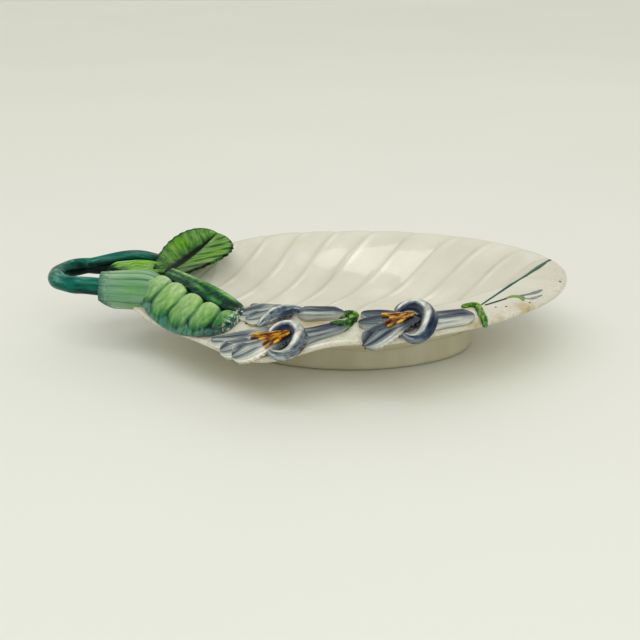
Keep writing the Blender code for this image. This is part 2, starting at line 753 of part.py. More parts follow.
def flower_tube(name, frame, mouth, tail, half_width, carriers):
    """Trumpet turned about its own axis and pressed flat, with its mouth open for the throat."""
    start = on_lip(frame, *mouth, TUBE_MOUTH_HEIGHT)
    end = on_lip(frame, *tail, TUBE_END_RADIUS - PRESS)
    length = (end - start).length
    blunt_end = []
    for step in range(TUBE_TAIL_STEPS + 1):
        turn = math.pi / 2 * step / TUBE_TAIL_STEPS
        blunt_end.append((TUBE_END_RADIUS * math.sin(turn), length - TUBE_TAIL * (1 - math.cos(turn))))
    profile = (
        *blunt_end,
        (TUBE_HALF_HEIGHT, THROAT_DEPTH),
        (TUBE_MOUTH_RADIUS, 0.0),
        (TUBE_MOUTH_RADIUS - TUBE_WALL, 0.0),
        (TUBE_HALF_HEIGHT - TUBE_WALL, THROAT_DEPTH - TUBE_WALL),
        (0.0, THROAT_DEPTH),
    )
    shape = bmesh.new()
    spots = [shape.verts.new((radius, 0.0, height)) for radius, height in profile]
    for first, second in zip(spots, spots[1:]):
        shape.edges.new((first, second))
    made = as_object(name, shape)
    turned = made.modifiers.new("Turned", "SCREW")
    turned.steps = TUBE_SIDES
    turned.render_steps = TUBE_SIDES
    turned.use_merge_vertices = True
    turned.merge_threshold = WELD
    made = settled(made)
    made.data.transform(Matrix.Diagonal((1.0, half_width / TUBE_HALF_HEIGHT, 1.0, 1.0)))
    made.location = start
    made.rotation_euler = (end - start).to_track_quat("Z", "X").to_euler()
    return lute(made, PETAL_GREY, carriers)


def flower_petal(name, frame, throat, form, height, carriers):
    """Petal that lies on the lip; what is laid later ends beside it, with nothing left under it."""
    degrees, length, half_width = form
    turn = math.radians(degrees)
    spine = []
    for step, rise in ((0.0, PETAL_ARCH), (length / 2, PETAL_ARCH), (length, 0.0)):
        plan = lip_plan(frame, throat[0] - step * math.cos(turn), throat[1] + step * math.sin(turn))
        spine.append(plan_point(plan, height + rise))
    widths = (half_width, half_width)
    lifts = (-PETAL_CURL, -PETAL_CURL)
    cells = (PETAL_LOBES * PETAL_SAMPLES, 2 * BLADE_ROWS)

    def settle(height, below):
        return height + below

    veins = side_veins(PETAL_LOBES, PETAL_PUFF)
    shape = blade(spine, widths, lifts, BLADE_FULLNESS, cells, veins, settle)
    cutter = deep_cutter(name, shape.copy())
    sink(shape, PETAL_THICKNESS)
    return lute(as_object(name, shape), PETAL_GREY, carriers, cutter)


def flower_roll(name, frame, form, carriers):
    """Petal rolled back on itself round the mouth and over the tube, as a coil that thins to its two ends."""
    first, last = form["ends"]
    tilt = math.radians(form["tilt"])
    points = []
    for step in range(ROLL_POINTS):
        share = step / (ROLL_POINTS - 1)
        turn = math.radians(first + (last - first) * share)
        deep, wide = form["depth"] * math.cos(turn), form["span"] * math.sin(turn)
        along = form["middle"][0] + deep * math.cos(tilt) - wide * math.sin(tilt)
        outward = form["middle"][1] + deep * math.sin(tilt) + wide * math.cos(tilt)
        height = ROLL_END_HEIGHT + (form["top"] - ROLL_END_HEIGHT) * math.sin(math.pi * share)
        points.append(on_lip(frame, along, outward, height))

    def taper(share):
        return ROLL_END_SHARE + (1 - ROLL_END_SHARE) * math.sin(math.pi * share)

    return lute(tube_along(name, points, form["radius"], COIL_SIDES, taper), PETAL_BLUE, carriers)


def flower_stamens(name, frame, form, carriers):
    """Forked spray of stamens that lies out of the throat."""
    prongs = []
    for (degrees, length), root_shift in zip(form["prongs"], STAMEN_ROOTS):
        turn = math.radians(degrees)
        along, outward = form["root"][0], form["root"][1] + root_shift
        start = on_lip(frame, along, outward, STAMEN_HEIGHT)
        tip = (along - length * math.cos(turn), outward + length * math.sin(turn))
        end = on_lip(frame, *tip, STAMEN_HEIGHT)
        shape = bmesh.new()
        rings = {"u_segments": STAMEN_SIDES, "v_segments": STAMEN_RINGS}
        bmesh.ops.create_uvsphere(shape, radius=STAMEN_RADIUS, **rings)
        stretch = (end - start).length / (2 * STAMEN_RADIUS)
        bmesh.ops.scale(shape, vec=(1.0, 1.0, stretch), verts=shape.verts)
        prong = as_object(name if not prongs else f"{name}_prong", shape)
        prong.location = (start + end) / 2
        prong.rotation_euler = (end - start).to_track_quat("Z", "X").to_euler()
        prongs.append(prong)
    spray, *others = prongs
    for other in others:
        join = spray.modifiers.new("Fork", "BOOLEAN")
        join.operation = "UNION"
        join.object = other
    spray = settled(spray)
    for other in others:
        bpy.data.objects.remove(other)
    return lute(spray, STAMEN_ORANGE, carriers)


def flower(name, carriers):
    """Lays one flower on the lip and adds its cutters to those that later pieces are cut by."""
    spot = FLOWERS[name]
    frame = lip_frame(spot["x"], spot["inset"], spot["turn"])
    tube = (spot["mouth"], spot["tail"], spot["tube_half_width"])
    carriers.append(flower_tube(name + "_tube", frame, *tube, carriers))
    for layer, (petal, form) in enumerate(PETALS[name].items()):
        height = PETAL_THICKNESS - PRESS + PETAL_LAYER * (len(PETALS[name]) - 1 - layer)
        carriers.append(flower_petal(f"{name}_{petal}_petal", frame, spot["throat"], form, height, carriers))
    carriers.append(flower_roll(name + "_rolled_petal", frame, ROLLS[name], carriers))
    if name in STAMENS:
        carriers.append(flower_stamens(name + "_stamens", frame, STAMENS[name], carriers))


def curled_sepal(carriers):
    """Green sepal bent into a hook on the lip between two flowers, with a straight tail."""
    frame = lip_frame(CURL_X, CURL_INSET)
    height = SEPAL_RADIUS - PRESS
    first, last = CURL_ENDS
    points = []
    for step in range(SEPAL_POINTS):
        turn = math.radians(first + (last - first) * step / (SEPAL_POINTS - 1))
        points.append(on_lip(frame, CURL_RADIUS * math.cos(turn), CURL_RADIUS * math.sin(turn), height))
    for step in range(1, SEPAL_POINTS):
        run = CURL_TAIL * step / (SEPAL_POINTS - 1)
        along = CURL_RADIUS * math.cos(turn) - run * math.sin(turn)
        outward = CURL_RADIUS * math.sin(turn) + run * math.cos(turn)
        points.append(on_lip(frame, along, outward, height))
    return lute(tube_along("calyx_1", points, SEPAL_RADIUS, COIL_SIDES), SEPAL_GREEN, carriers)


def wrapped_sepal(carriers):
    """Green sepal that wraps the lip at the end of the last tube; its inner end bends along the lip."""
    height = SEPAL_RADIUS - PRESS
    corner = lip_frame(WRAP_X, WRAP_INNER_INSET)
    points = [on_lip(corner, -WRAP_BEND - WRAP_RUN, -WRAP_BEND, height)]
    for step in range(SEPAL_POINTS):
        turn = math.pi / 2 * step / (SEPAL_POINTS - 1)
        along = WRAP_BEND * (math.sin(turn) - 1)
        points.append(on_lip(corner, along, -WRAP_BEND * math.cos(turn), height))
    for step in range(1, SEPAL_POINTS):
        inset = WRAP_INNER_INSET + (WRAP_OUTER_INSET - WRAP_INNER_INSET) * step / (SEPAL_POINTS - 1)
        points.append(on_lip(lip_frame(WRAP_X, inset), 0.0, 0.0, height))
    return lute(tube_along("calyx_2", points, SEPAL_RADIUS, COIL_SIDES), SEPAL_GREEN, carriers)


def centre_on_footprint():
    """Moves the whole dish so that the middle of its footprint is the origin."""
    boxes = [box_of(obj) for obj in parts.objects if obj.type == "MESH"]
    low = [min(box[0][axis] for box in boxes) for axis in range(3)]
    high = [max(box[1][axis] for box in boxes) for axis in range(3)]
    root.location = (-(low[0] + high[0]) / 2, -(low[1] + high[1]) / 2, -low[2])


def main():
    foot_ring([dish_bowl()])
    laid = [deep_cutter("lip", bowl_sheet(), SEAT_FLARE)]
    for piece in (stem_sheath, stem_handle, upright_leaf, small_leaf, folded_leaf):
        laid.append(piece(laid))
    for name in FLOWERS:
        flower(name, laid)
    laid.append(curled_sepal(laid))
    laid.append(wrapped_sepal(laid))
    centre_on_footprint()


clear_scene()
parts = collection("leaf_dish")
cutters = collection("joint_cutters", hidden=True)
root = bpy.data.objects.new("leaf_dish_origin", None)
parts.objects.link(root)
main()
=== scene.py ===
import math

import bpy
import numpy as np
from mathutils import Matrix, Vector


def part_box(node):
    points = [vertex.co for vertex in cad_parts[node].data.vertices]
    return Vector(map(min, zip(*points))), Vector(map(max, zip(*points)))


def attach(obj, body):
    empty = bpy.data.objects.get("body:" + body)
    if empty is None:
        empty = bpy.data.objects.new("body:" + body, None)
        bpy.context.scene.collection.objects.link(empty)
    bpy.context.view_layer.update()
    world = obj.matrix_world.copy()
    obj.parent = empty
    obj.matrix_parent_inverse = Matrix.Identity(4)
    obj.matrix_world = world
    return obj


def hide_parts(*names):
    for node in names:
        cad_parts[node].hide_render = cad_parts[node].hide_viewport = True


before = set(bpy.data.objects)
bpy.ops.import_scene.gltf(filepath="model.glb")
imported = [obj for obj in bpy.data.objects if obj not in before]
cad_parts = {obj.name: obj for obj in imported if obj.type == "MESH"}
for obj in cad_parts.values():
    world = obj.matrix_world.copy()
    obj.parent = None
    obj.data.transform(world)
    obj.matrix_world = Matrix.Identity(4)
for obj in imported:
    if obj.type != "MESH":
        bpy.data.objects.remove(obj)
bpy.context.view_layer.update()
scene = bpy.context.scene

MM = 0.001
BODY = "root"

# Sizes in millimetres, in the frame that the leaf is drawn in. First its rim, seen from above
WIDEST_X = 20.0
TIP_LENGTH = 126.0
BASE_LENGTH = 157.0
BASE_X = WIDEST_X - BASE_LENGTH
HALF_WIDTH = 88.0
BASE_FULLNESS = 3
RIM_SWELLS = ((-46.0, 14.0, 28.0), (22.0, 6.0, 22.0))
REACH_STEPS = 40
# Heights of floor, wall and lip
FLOOR_TOP = 16.0
FLOOR_HALF_WIDTH = 34.0
RIM_HEIGHT = 48.0
WALL_POWER = 1.2
LIP_WIDTH = 28.0
NEAR_SPAN = 40.0
NEAR_SINK = 3.5
NEAR_DROOP = 1.5
TIP_TURN = 23.0
TIP_TURN_START = 78.0
TIP_TURN_SPAN = 42.0
DIP_DEPTH = 8.0
DIP_X = -50.0
DIP_SPAN = 38.0
STALK_DROOP = 7.0
STALK_DROOP_START = 40.0
HANG = 0.8
EDGE_ROLL = 2.2
EDGE_ROLL_START = 0.92
# Wall of the shell and its round rim
BOWL_WALL = 5.0
WALL_SLANT = 1.7
RIM_SHARE = 0.7
RIM_THIN_START = 0.85
RIM_ROUND = 1.4
NOSE_COLUMNS = 9
# Lobes, and the veins between them, with a painted highlight beside each vein
LOBES = 13
LOBE_START = 22.0
LOBE_HEIGHT = 1.0
LOBE_SKEW = 1.3
LOBE_ROUND = 0.75
LOBE_SCALLOP = 0.5
SCALLOP_FADE = 6
GROOVE_DEPTH = 0.55
GROOVE_WIDTH = 0.06
VEIN_RELIEF = 0.55
VEIN_UNEVENNESS = 0.45
VEIN_SWEEP_BASE = 0.5
VEIN_SWEEP_TIP = 3.2
MIDRIB_EVENNESS = 0.2
RIM_EASE = 0.55
RIM_EASE_START = 0.86
PAINTED_HIGHLIGHT_PHASE = 0.16
PAINTED_HIGHLIGHT_WIDTH = 0.07
LOBE_SAMPLES = 14
SAMPLE_CROWDING = 0.09
BOWL_ROWS = 44
ROW_CROWDING = 0.85
# Foot
FOOT_X = 14.0
FOOT_HALF_LENGTH = 75.0
FOOT_HALF_WIDTH = 45.0
FOOT_THICKNESS = 7.0
FOOT_SIDES = 160
# How deep a piece is pressed into what carries it
PRESS = 1.4

foot_low, foot_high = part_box("foot_ring")
SHIFT = np.array([
    (foot_low.x + foot_high.x) / 2 / MM - FOOT_X,
    (foot_low.y + foot_high.y) / 2 / MM,
    0.0,
])


def smooth(share):
    share = np.clip(share, 0, 1)
    return share * share * (3 - 2 * share)


def fade(value, start, end):
    return smooth((value - start) / (end - start))


def bump_at(value, middle, width):
    return np.exp(-(((value - middle) / width) ** 2))


def unit(vectors):
    return vectors / np.maximum(np.linalg.norm(vectors, axis=-1, keepdims=True), 1e-9)


def arch(share):
    return np.sin(np.pi * share)


def between(first, last, share):
    return first + (last - first) * share


def steps(count):
    return np.linspace(0, 1, count)


# Form of the bowl, as in the solids
def near_stretch(x):
    swell = sum(width * bump_at(x, middle, span) for middle, width, span in RIM_SWELLS)
    return 1 + swell / HALF_WIDTH


def rim_half_width(x):
    tip = np.clip((x - WIDEST_X) / TIP_LENGTH, 0, 1)
    base = np.clip((WIDEST_X - x) / BASE_LENGTH, 0, 1)
    return HALF_WIDTH * np.where(x >= WIDEST_X, np.sqrt(1 - tip**2), 1 - base**BASE_FULLNESS)


def reach(x, y):
    """How far out a place lies, as a share of the way to the rim."""
    across = np.where(y > 0, y / HALF_WIDTH, -y / (HALF_WIDTH * near_stretch(x)))
    tip = np.hypot((x - WIDEST_X) / TIP_LENGTH, across)
    along = np.maximum((WIDEST_X - x) / BASE_LENGTH, 0.0)
    share = np.maximum(along, across)
    for _ in range(REACH_STEPS):
        share = (across * share ** (BASE_FULLNESS - 1) + along**BASE_FULLNESS) ** (1 / BASE_FULLNESS)
    return np.where(x >= WIDEST_X, tip, share)


def wall_place(x, y):
    """Reach of a place, its share in the near lip, the reach of the wall's crest and the climb to it."""
    share = reach(x, y)
    turn = TIP_TURN * smooth((x - WIDEST_X - TIP_TURN_START) / TIP_TURN_SPAN)
    near = smooth((turn - y) / NEAR_SPAN)
    floor_share = FLOOR_HALF_WIDTH / HALF_WIDTH
    crest_share = 1 - near * LIP_WIDTH / HALF_WIDTH
    climb = np.clip((share - floor_share) / (crest_share - floor_share), 0, 1)
    return share, near, crest_share, climb


def bowl_height(x, y):
    share, near, crest_share, climb = wall_place(x, y)
    sunk = near * (1 - smooth((x - WIDEST_X) / TIP_LENGTH))
    wall = (1 - np.cos(np.pi * climb**WALL_POWER)) / 2
    crest = RIM_HEIGHT - NEAR_SINK * sunk
    over = np.clip((share - crest_share) * HALF_WIDTH / LIP_WIDTH, 0, 1)
    dip = DIP_DEPTH * bump_at(x, DIP_X, DIP_SPAN)
    droop = sunk * (NEAR_DROOP + dip) * np.sin(np.pi / 2 * over)
    stalk = smooth((WIDEST_X - STALK_DROOP_START - x) / (BASE_LENGTH - STALK_DROOP_START))
    bend = STALK_DROOP * stalk * smooth(1 + (share - 1) * HALF_WIDTH / LIP_WIDTH)
    hang = HANG * np.maximum(share - 1, 0.0) * HALF_WIDTH
    return between(FLOOR_TOP, crest, wall) - droop - bend - hang


def slopes(surface, x, y):
    """Change of a surface over one millimetre, along and across."""
    half = 0.5
    return surface(x + half, y) - surface(x - half, y), surface(x, y + half) - surface(x, y - half)


# Meshes from grids of points
WELD_DISTANCE = 0.01
RIM_SEGMENTS = 3
RIM_DEGREES = 50.0


def linked(name, data):
    made = bpy.data.objects.new(name, data)
    scene.collection.objects.link(made)
    return made


def grid(name, points, along, across, **marks):
    """Mesh of a grid of points in the leaf's frame, its seams welded, with a paint map and float marks."""
    rows, columns, _ = points.shape
    index = np.arange(rows * columns).reshape(rows, columns)
    corners = (index[:-1, :-1], index[1:, :-1], index[1:, 1:], index[:-1, 1:])
    quads = np.stack(corners, axis=-1).reshape(-1, 4)
    mesh = bpy.data.meshes.new(name)
    mesh.from_pydata(((points.reshape(-1, 3) + SHIFT) * MM).tolist(), [], quads.tolist())
    layer = mesh.uv_layers.new(name="paint")
    loops = np.empty(len(mesh.loops), int)
    mesh.loops.foreach_get("vertex_index", loops)
    paint = np.stack(np.broadcast_arrays(along, across), axis=-1)
    layer.data.foreach_set("uv", paint.reshape(-1, 2)[loops].ravel())
    for mark in ("tone", "tint", "wear"):
        values = np.broadcast_to(marks.get(mark, 0.0), (rows, columns))
        attribute = mesh.attributes.new(mark, "FLOAT", "POINT")
        attribute.data.foreach_set("value", np.ascontiguousarray(values, np.float32).ravel())
    mesh.shade_smooth()
    made = linked(name, mesh)
    weld = made.modifiers.new("Seam", "WELD")
    weld.merge_threshold = WELD_DISTANCE * MM
    return made


def thicken(obj, thickness, taper, rim_width):
    """Gives a sheet its wall and a round rim. taper is the share of the wall that each point of a row has."""
    wall = obj.modifiers.new("Wall", "SOLIDIFY")
    wall.thickness = thickness * MM
    wall.offset = -1.0
    group = obj.vertex_groups.new(name="wall")
    for index, share in enumerate(np.resize(taper, len(obj.data.vertices))):
        group.add([index], float(share), "REPLACE")
    wall.vertex_group = "wall"
    rim = obj.modifiers.new("Rim", "BEVEL")
    rim.width = rim_width * MM
    rim.segments = RIM_SEGMENTS
    rim.limit_method = "ANGLE"
    rim.angle_limit = math.radians(RIM_DEGREES)


def joined(objects, name):
    """Several meshes as one piece."""
    first = objects[0]
    with bpy.context.temp_override(
        active_object=first, object=first, selected_objects=objects, selected_editable_objects=objects,
    ):
        if len(objects) > 1:
            bpy.ops.object.join()
    first.name = name
    return first


def spread_of(rows, columns):
    """Grid parameters: along from 0 to 1 by rows, across from -1 to 1 by columns."""
    return steps(rows + 1)[:, None], np.linspace(-1, 1, columns + 1)[None, :]


def through(points, count):
    """Smooth run through a few points."""
    points = np.array(points, float)
    padded = np.vstack([2 * points[0] - points[1], points, 2 * points[-1] - points[-2]])
    place = np.linspace(0, len(points) - 1, count)
    span = np.minimum(place.astype(int), len(points) - 2)
    t = (place - span)[:, None]
    a, b, c, d = (padded[span + step] for step in range(4))
    return b + t / 2 * (c - a + t * (2 * a - 5 * b + 4 * c - d + t * (3 * (b - c) + d - a)))


def sweep(path, wide, tall, sides, ends=6, swell=None):
    """Rings along a run, wide to the sides and tall upward, closed by rounded ends.
    swell(along, turn) is the share by which the skin stands out."""
    wide, tall = (np.broadcast_to(size, len(path)) for size in (wide, tall))
    ahead = unit(np.gradient(path, axis=0))
    cap = np.linspace(0, np.pi / 2, ends, endpoint=False)
    before = path[0] - ahead[0] * (np.cos(cap) * min(wide[0], tall[0]))[:, None]
    after = path[-1] + ahead[-1] * (np.cos(cap[::-1]) * min(wide[-1], tall[-1]))[:, None]
    line = np.vstack([before, path, after])
    heading = np.vstack([np.repeat(ahead[:1], ends, 0), ahead, np.repeat(ahead[-1:], ends, 0)])
    grow, shrink = np.sin(cap), np.sin(cap[::-1])
    across = np.concatenate([wide[0] * grow, wide, wide[-1] * shrink])
    upward = np.concatenate([tall[0] * grow, tall, tall[-1] * shrink])
    side = unit(np.cross(heading, [0.0, 0.0, 1.0]))
    up = np.cross(side, heading)
    turn = np.linspace(0, 2 * np.pi, sides + 1)
    ring = (
        side[:, None] * (across[:, None] * np.cos(turn))[..., None]
        + up[:, None] * (upward[:, None] * np.sin(turn))[..., None]
    )
    along = steps(len(line))[:, None]
    if swell is not None:
        ring = ring * (1 + swell(along, turn[None, :]))[..., None]
    return line[:, None] + ring, along, turn[None, :] / (2 * np.pi)


# Glazes: first what they share, lengths in metres and the noise's scales per metre
GLAZE_IOR = 1.5
COAT_ROUGHNESS = 0.06
RELIEF_DISTANCE = 0.001
CLOUD_SCALE = 45.0
CLOUD_RANGE = (0.25, 0.75)
CLOUD_SATURATION = (1.2, 0.8)
GRAIN_SCALE = 420.0
GRAIN_RANGE = (0.5, 0.57)
STREAK_RANGE = (0.3, 0.7)
TINT_RANGE = (0.35, 0.6)
DOWNWARD_SHADE_RANGE = (0.0, -0.7)


def srgb(red, green, blue):
    def linear(value):
        value /= 255
        return value / 12.92 if value <= 0.04045 else ((value + 0.055) / 1.055) ** 2.4

    return (linear(red), linear(green), linear(blue), 1.0)


def feed(tree, node, inputs):
    """Sets a node's inputs to values, or links them to sockets."""
    for key, value in inputs.items():
        if isinstance(value, bpy.types.NodeSocket):
            tree.links.new(value, node.inputs[key])
        else:
            node.inputs[key].default_value = value
    return node


def add(tree, kind, inputs, **settings):
    made = tree.nodes.new("ShaderNode" + kind)
    for key, value in settings.items():
        setattr(made, key, value)
    return feed(tree, made, inputs)


def new_material(name):
    material = bpy.data.materials.new(name)
    material.use_nodes = True
    tree = material.node_tree
    return material, tree, tree.nodes["Principled BSDF"]


def mixed(tree, factor, first, second):
    """Colour between two colours."""
    return add(tree, "Mix", {0: factor, 6: first, 7: second}, data_type="RGBA").outputs[2]


def sums(tree, kind, first, second):
    return add(tree, "Math", {0: first, 1: second}, operation=kind).outputs[0]


def ranged(tree, value, low, high, start=0.0, end=1.0):
    inputs = {"Value": value, "From Min": low, "From Max": high, "To Min": start, "To Max": end}
    return add(tree, "MapRange", inputs).outputs["Result"]


def noise(tree, place, scale, detail, roughness=0.5):
    inputs = {"Vector": place, "Scale": scale, "Detail": detail, "Roughness": roughness}
    return add(tree, "TexNoise", inputs).outputs["Fac"]


def marked(tree, mark):
    return add(tree, "Attribute", {}, attribute_name=mark).outputs["Fac"]


def glaze(
    name, ramp, brush, tint, wear=(206, 208, 190), under=None,
    mottle=0.08, gloss=0.16, relief=0.15, coat=0.15, shine=0.1,
):
    """Brushed glaze. The tone mark picks a colour from the ramp, the tint mark lays a second one over it and
    the wear mark breaks through in chips. brush: streaks along and across the paint map, and their strength.
    under paints shade on what faces down: a darker olive colour mixed in as the surface turns downward."""
    material, tree, shader = new_material(name)
    paint = add(tree, "UVMap", {}, uv_map="paint").outputs["UV"]
    *streaks, strength = brush
    strokes = add(tree, "Mapping", {"Vector": paint, "Scale": (*streaks, 1.0)}).outputs["Vector"]
    streak = noise(tree, strokes, 1.0, 4.0, 0.6)
    place = add(tree, "TexCoord", {}).outputs["Object"]
    cloud = noise(tree, place, CLOUD_SCALE, 3.0)
    grain = noise(tree, place, GRAIN_SCALE, 3.0, 0.7)
    stroke = ranged(tree, streak, *STREAK_RANGE, -strength, strength)
    bands = add(tree, "ValToRGB", {"Fac": sums(tree, "ADD", marked(tree, "tone"), stroke)})
    stops = bands.color_ramp.elements
    while len(stops) < len(ramp):
        stops.new(0.5)
    for stop, (position, *colour) in zip(stops, ramp):
        stop.position = position
        stop.color = srgb(*colour)
    colour = bands.outputs["Color"]
    brushed = sums(tree, "MULTIPLY", marked(tree, "tint"), ranged(tree, streak, *TINT_RANGE))
    colour = mixed(tree, brushed, colour, srgb(*tint))
    # Painted shade: surfaces that face down are mixed toward the under colour
    if under is not None:
        normal = add(tree, "NewGeometry", {}).outputs["Normal"]
        down = add(tree, "SeparateXYZ", {"Vector": normal}).outputs["Z"]
        colour = mixed(tree, ranged(tree, down, *DOWNWARD_SHADE_RANGE), colour, srgb(*under))
    chips = sums(tree, "MULTIPLY", marked(tree, "wear"), ranged(tree, grain, *GRAIN_RANGE))
    colour = mixed(tree, chips, colour, srgb(*wear))
    value = ranged(tree, cloud, *CLOUD_RANGE, 1 - mottle, 1 + mottle)
    depth = ranged(tree, cloud, *CLOUD_RANGE, *CLOUD_SATURATION)
    shaded = add(tree, "HueSaturation", {"Value": value, "Saturation": depth, "Color": colour})
    height = sums(tree, "ADD", streak, cloud)
    bumps = add(tree, "Bump", {"Height": height, "Strength": relief, "Distance": RELIEF_DISTANCE})
    feed(tree, shader, {
        "Base Color": shaded.outputs["Color"],
        "Roughness": ranged(tree, cloud, *CLOUD_RANGE, gloss * 0.7, gloss * 1.5),
        "Normal": bumps.outputs["Normal"],
        "IOR": GLAZE_IOR,
        "Specular IOR Level": shine,
        "Coat Weight": coat,
        "Coat Roughness": COAT_ROUGHNESS,
    })
    return material


# The under colours of the white and foot glazes are painted shade for the underside of the dish
WHITE = glaze(
    "white_glaze",
    ((0.0, 168, 163, 144), (0.35, 201, 198, 186), (0.72, 213, 210, 201), (1.0, 232, 229, 221)),
    brush=(4, 3, 0.14), tint=(182, 166, 128), wear=(112, 84, 56), under=(198, 191, 154),
    mottle=0.05, gloss=0.14, relief=0.35, coat=0.8, shine=0.4,
)
FOOT = glaze(
    "foot_glaze",
    ((0.0, 168, 162, 132), (1.0, 214, 210, 190)),
    brush=(30, 2, 0.12), tint=(196, 186, 158), wear=(120, 92, 62), under=(176, 170, 134),
    mottle=0.05, gloss=0.14, coat=0.3, shine=0.4,
)
STALK = glaze(
    "stalk_glaze",
    ((0.0, 0, 10, 10), (0.3, 0, 46, 40), (0.55, 2, 86, 74), (0.8, 20, 112, 98), (1.0, 92, 156, 144)),
    brush=(2, 11, 0.36), tint=(0, 34, 34), wear=(170, 196, 180), relief=0.35, shine=0.06,
)
SHEATH = glaze(
    "sheath_glaze",
    ((0.0, 14, 50, 46), (0.3, 64, 112, 90), (0.65, 118, 160, 122), (1.0, 178, 204, 174)),
    brush=(1.6, 40, 0.16), tint=(66, 132, 30), wear=(70, 108, 100), relief=0.25,
)
LEAF = glaze(
    "leaf_glaze",
    (
        (0.0, 2, 14, 8), (0.2, 8, 44, 24), (0.45, 44, 94, 28),
        (0.7, 92, 142, 46), (0.88, 132, 174, 78), (1.0, 184, 204, 136),
    ),
    brush=(26, 2.2, 0.2), tint=(40, 86, 78), relief=0.25,
)
LOBED_LEAF = glaze(
    "lobed_leaf_glaze",
    (
        (0.0, 2, 18, 14), (0.2, 8, 52, 40), (0.45, 58, 114, 60),
        (0.7, 124, 164, 96), (0.88, 162, 192, 136), (1.0, 196, 210, 166),
    ),
    brush=(30, 4, 0.13), tint=(76, 126, 120),
)
PALE_LEAF = glaze(
    "pale_leaf_glaze",
    ((0.0, 2, 16, 8), (0.25, 18, 62, 28), (0.55, 84, 138, 46), (1.0, 156, 194, 104)),
    brush=(3, 9, 0.28), tint=(60, 104, 70),
)
PETAL = glaze(
    "petal_glaze",
    (
        (0.0, 10, 20, 32), (0.2, 50, 64, 78), (0.45, 104, 114, 120),
        (0.72, 170, 175, 170), (1.0, 224, 222, 208),
    ),
    brush=(1.2, 11, 0.28), tint=(20, 44, 74), wear=(150, 132, 92), relief=0.2, shine=0.3,
)
ROLL = glaze(
    "rolled_petal_glaze",
    (
        (0.0, 12, 24, 40), (0.25, 56, 74, 94), (0.5, 118, 128, 136),
        (0.75, 176, 182, 180), (1.0, 222, 222, 214),
    ),
    brush=(4, 9, 0.36), tint=(14, 38, 74), wear=(76, 62, 42), relief=0.3, shine=0.15,
)
STAMEN = glaze(
    "stamen_glaze",
    ((0.0, 62, 20, 4), (0.35, 118, 58, 10), (0.7, 186, 128, 20), (1.0, 226, 186, 48)),
    brush=(9, 5, 0.3), tint=(120, 44, 6), wear=(80, 34, 8), relief=0.4,
)
SEPAL = glaze(
    "sepal_glaze",
    ((0.0, 4, 28, 2), (0.45, 26, 82, 10), (0.75, 70, 126, 22), (1.0, 150, 184, 70)),
    brush=(24, 5, 0.3), tint=(20, 66, 12), wear=(200, 204, 170),
    relief=0.4, coat=0.08, shine=0.2,
)
SPECK = glaze(
    "speck_glaze",
    ((0.0, 70, 46, 26), (1.0, 132, 104, 66)),
    brush=(9, 5, 0.3), tint=(90, 60, 30), wear=(60, 40, 20),
)


def dress(obj, material, slot, *nodes):
    obj.data.materials.append(material)
    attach(obj, BODY)
    if nodes:
        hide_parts(*nodes)


# The veined bowl
def edge_roll(share, near):
    """How far the edge of the near lip is rolled down."""
    return EDGE_ROLL * near * np.clip((share - EDGE_ROLL_START) / (1 - EDGE_ROLL_START), 0, 1) ** 2


def lip_top(x, y):
    share, near, _, _ = wall_place(x, y)
    return bowl_height(x, y) - edge_roll(share, near)


def bowl_point(along, across):
    """Points of the bowl's upper face, with the swell of its lobes and the depth of its veins, the shares of
    painted light on the lobes, painted shade in the grooves and a painted highlight beside each vein, and the
    share of each point in the near lip."""
    tip_x = WIDEST_X + TIP_LENGTH * np.cos(np.pi * (1 - along))
    rim_x = np.where(along > 0.5, tip_x, WIDEST_X + BASE_LENGTH * (2 * along - 1))
    midrib_share = MIDRIB_EVENNESS * along + (1 - MIDRIB_EVENNESS) * along**2
    midrib_x = BASE_X + (BASE_LENGTH + TIP_LENGTH) * midrib_share
    share = np.abs(across) ** ROW_CROWDING * (1 - RIM_ROUND / HALF_WIDTH)
    sweep_power = between(VEIN_SWEEP_BASE, VEIN_SWEEP_TIP, along**2)
    x = between(midrib_x, rim_x, share**sweep_power)
    width = rim_half_width(rim_x)
    side = np.where(across > 0, 1.0, -near_stretch(x))
    y = side * width * share
    _, near, _, climb = wall_place(x, y)
    phase = (along * LOBES) % 1.0
    lobe = arch(phase**LOBE_SKEW) ** LOBE_ROUND
    groove = bump_at(np.minimum(phase, 1 - phase), 0, GROOVE_WIDTH)
    present = smooth(share * width / LOBE_START) * (1 - near * smooth(climb))
    ease = present * (1 - RIM_EASE * fade(share, RIM_EASE_START, 1))
    scallop = LOBE_SCALLOP * lobe * present * share**SCALLOP_FADE * arch(along)
    uneven = VEIN_RELIEF * (1 + VEIN_UNEVENNESS * np.sin(11 * along + 3 * share))
    z = lip_top(x, y) + (LOBE_HEIGHT * lobe - GROOVE_DEPTH * groove) * ease * uneven
    points = np.stack([x, y + side * scallop, z], axis=-1)
    # Painted highlight: a pale line on one side of each vein
    painted_highlight = bump_at(phase, PAINTED_HIGHLIGHT_PHASE, PAINTED_HIGHLIGHT_WIDTH) * ease * (1 + np.sin(17 * share + 23 * along)) / 2
    return points, lobe * ease, groove * ease, painted_highlight, near


# Tan pools of glaze and stains on the lip: plan place and span
POOLS = (
    (-19.0, -70.0, 6.0), (-8.0, -72.0, 7.0), (-57.0, -52.0, 6.0), (-46.0, -66.0, 6.0),
    (74.0, -79.0, 4.0), (88.0, -73.0, 4.0), (106.0, -60.0, 5.0),
)


def rim_nose(top, under):
    """Round edge of the shell, from its upper to its lower rim."""
    x, y = top[:, 0], top[:, 1]
    out = np.stack([*slopes(reach, x, y), 0 * x], axis=-1)
    turn = np.linspace(0, np.pi, NOSE_COLUMNS + 2)[1:-1, None]
    middle, half = (top + under) / 2, (top - under) / 2
    return middle[:, None] + half[:, None] * np.cos(turn) + unit(out)[:, None] * RIM_ROUND * np.sin(turn)


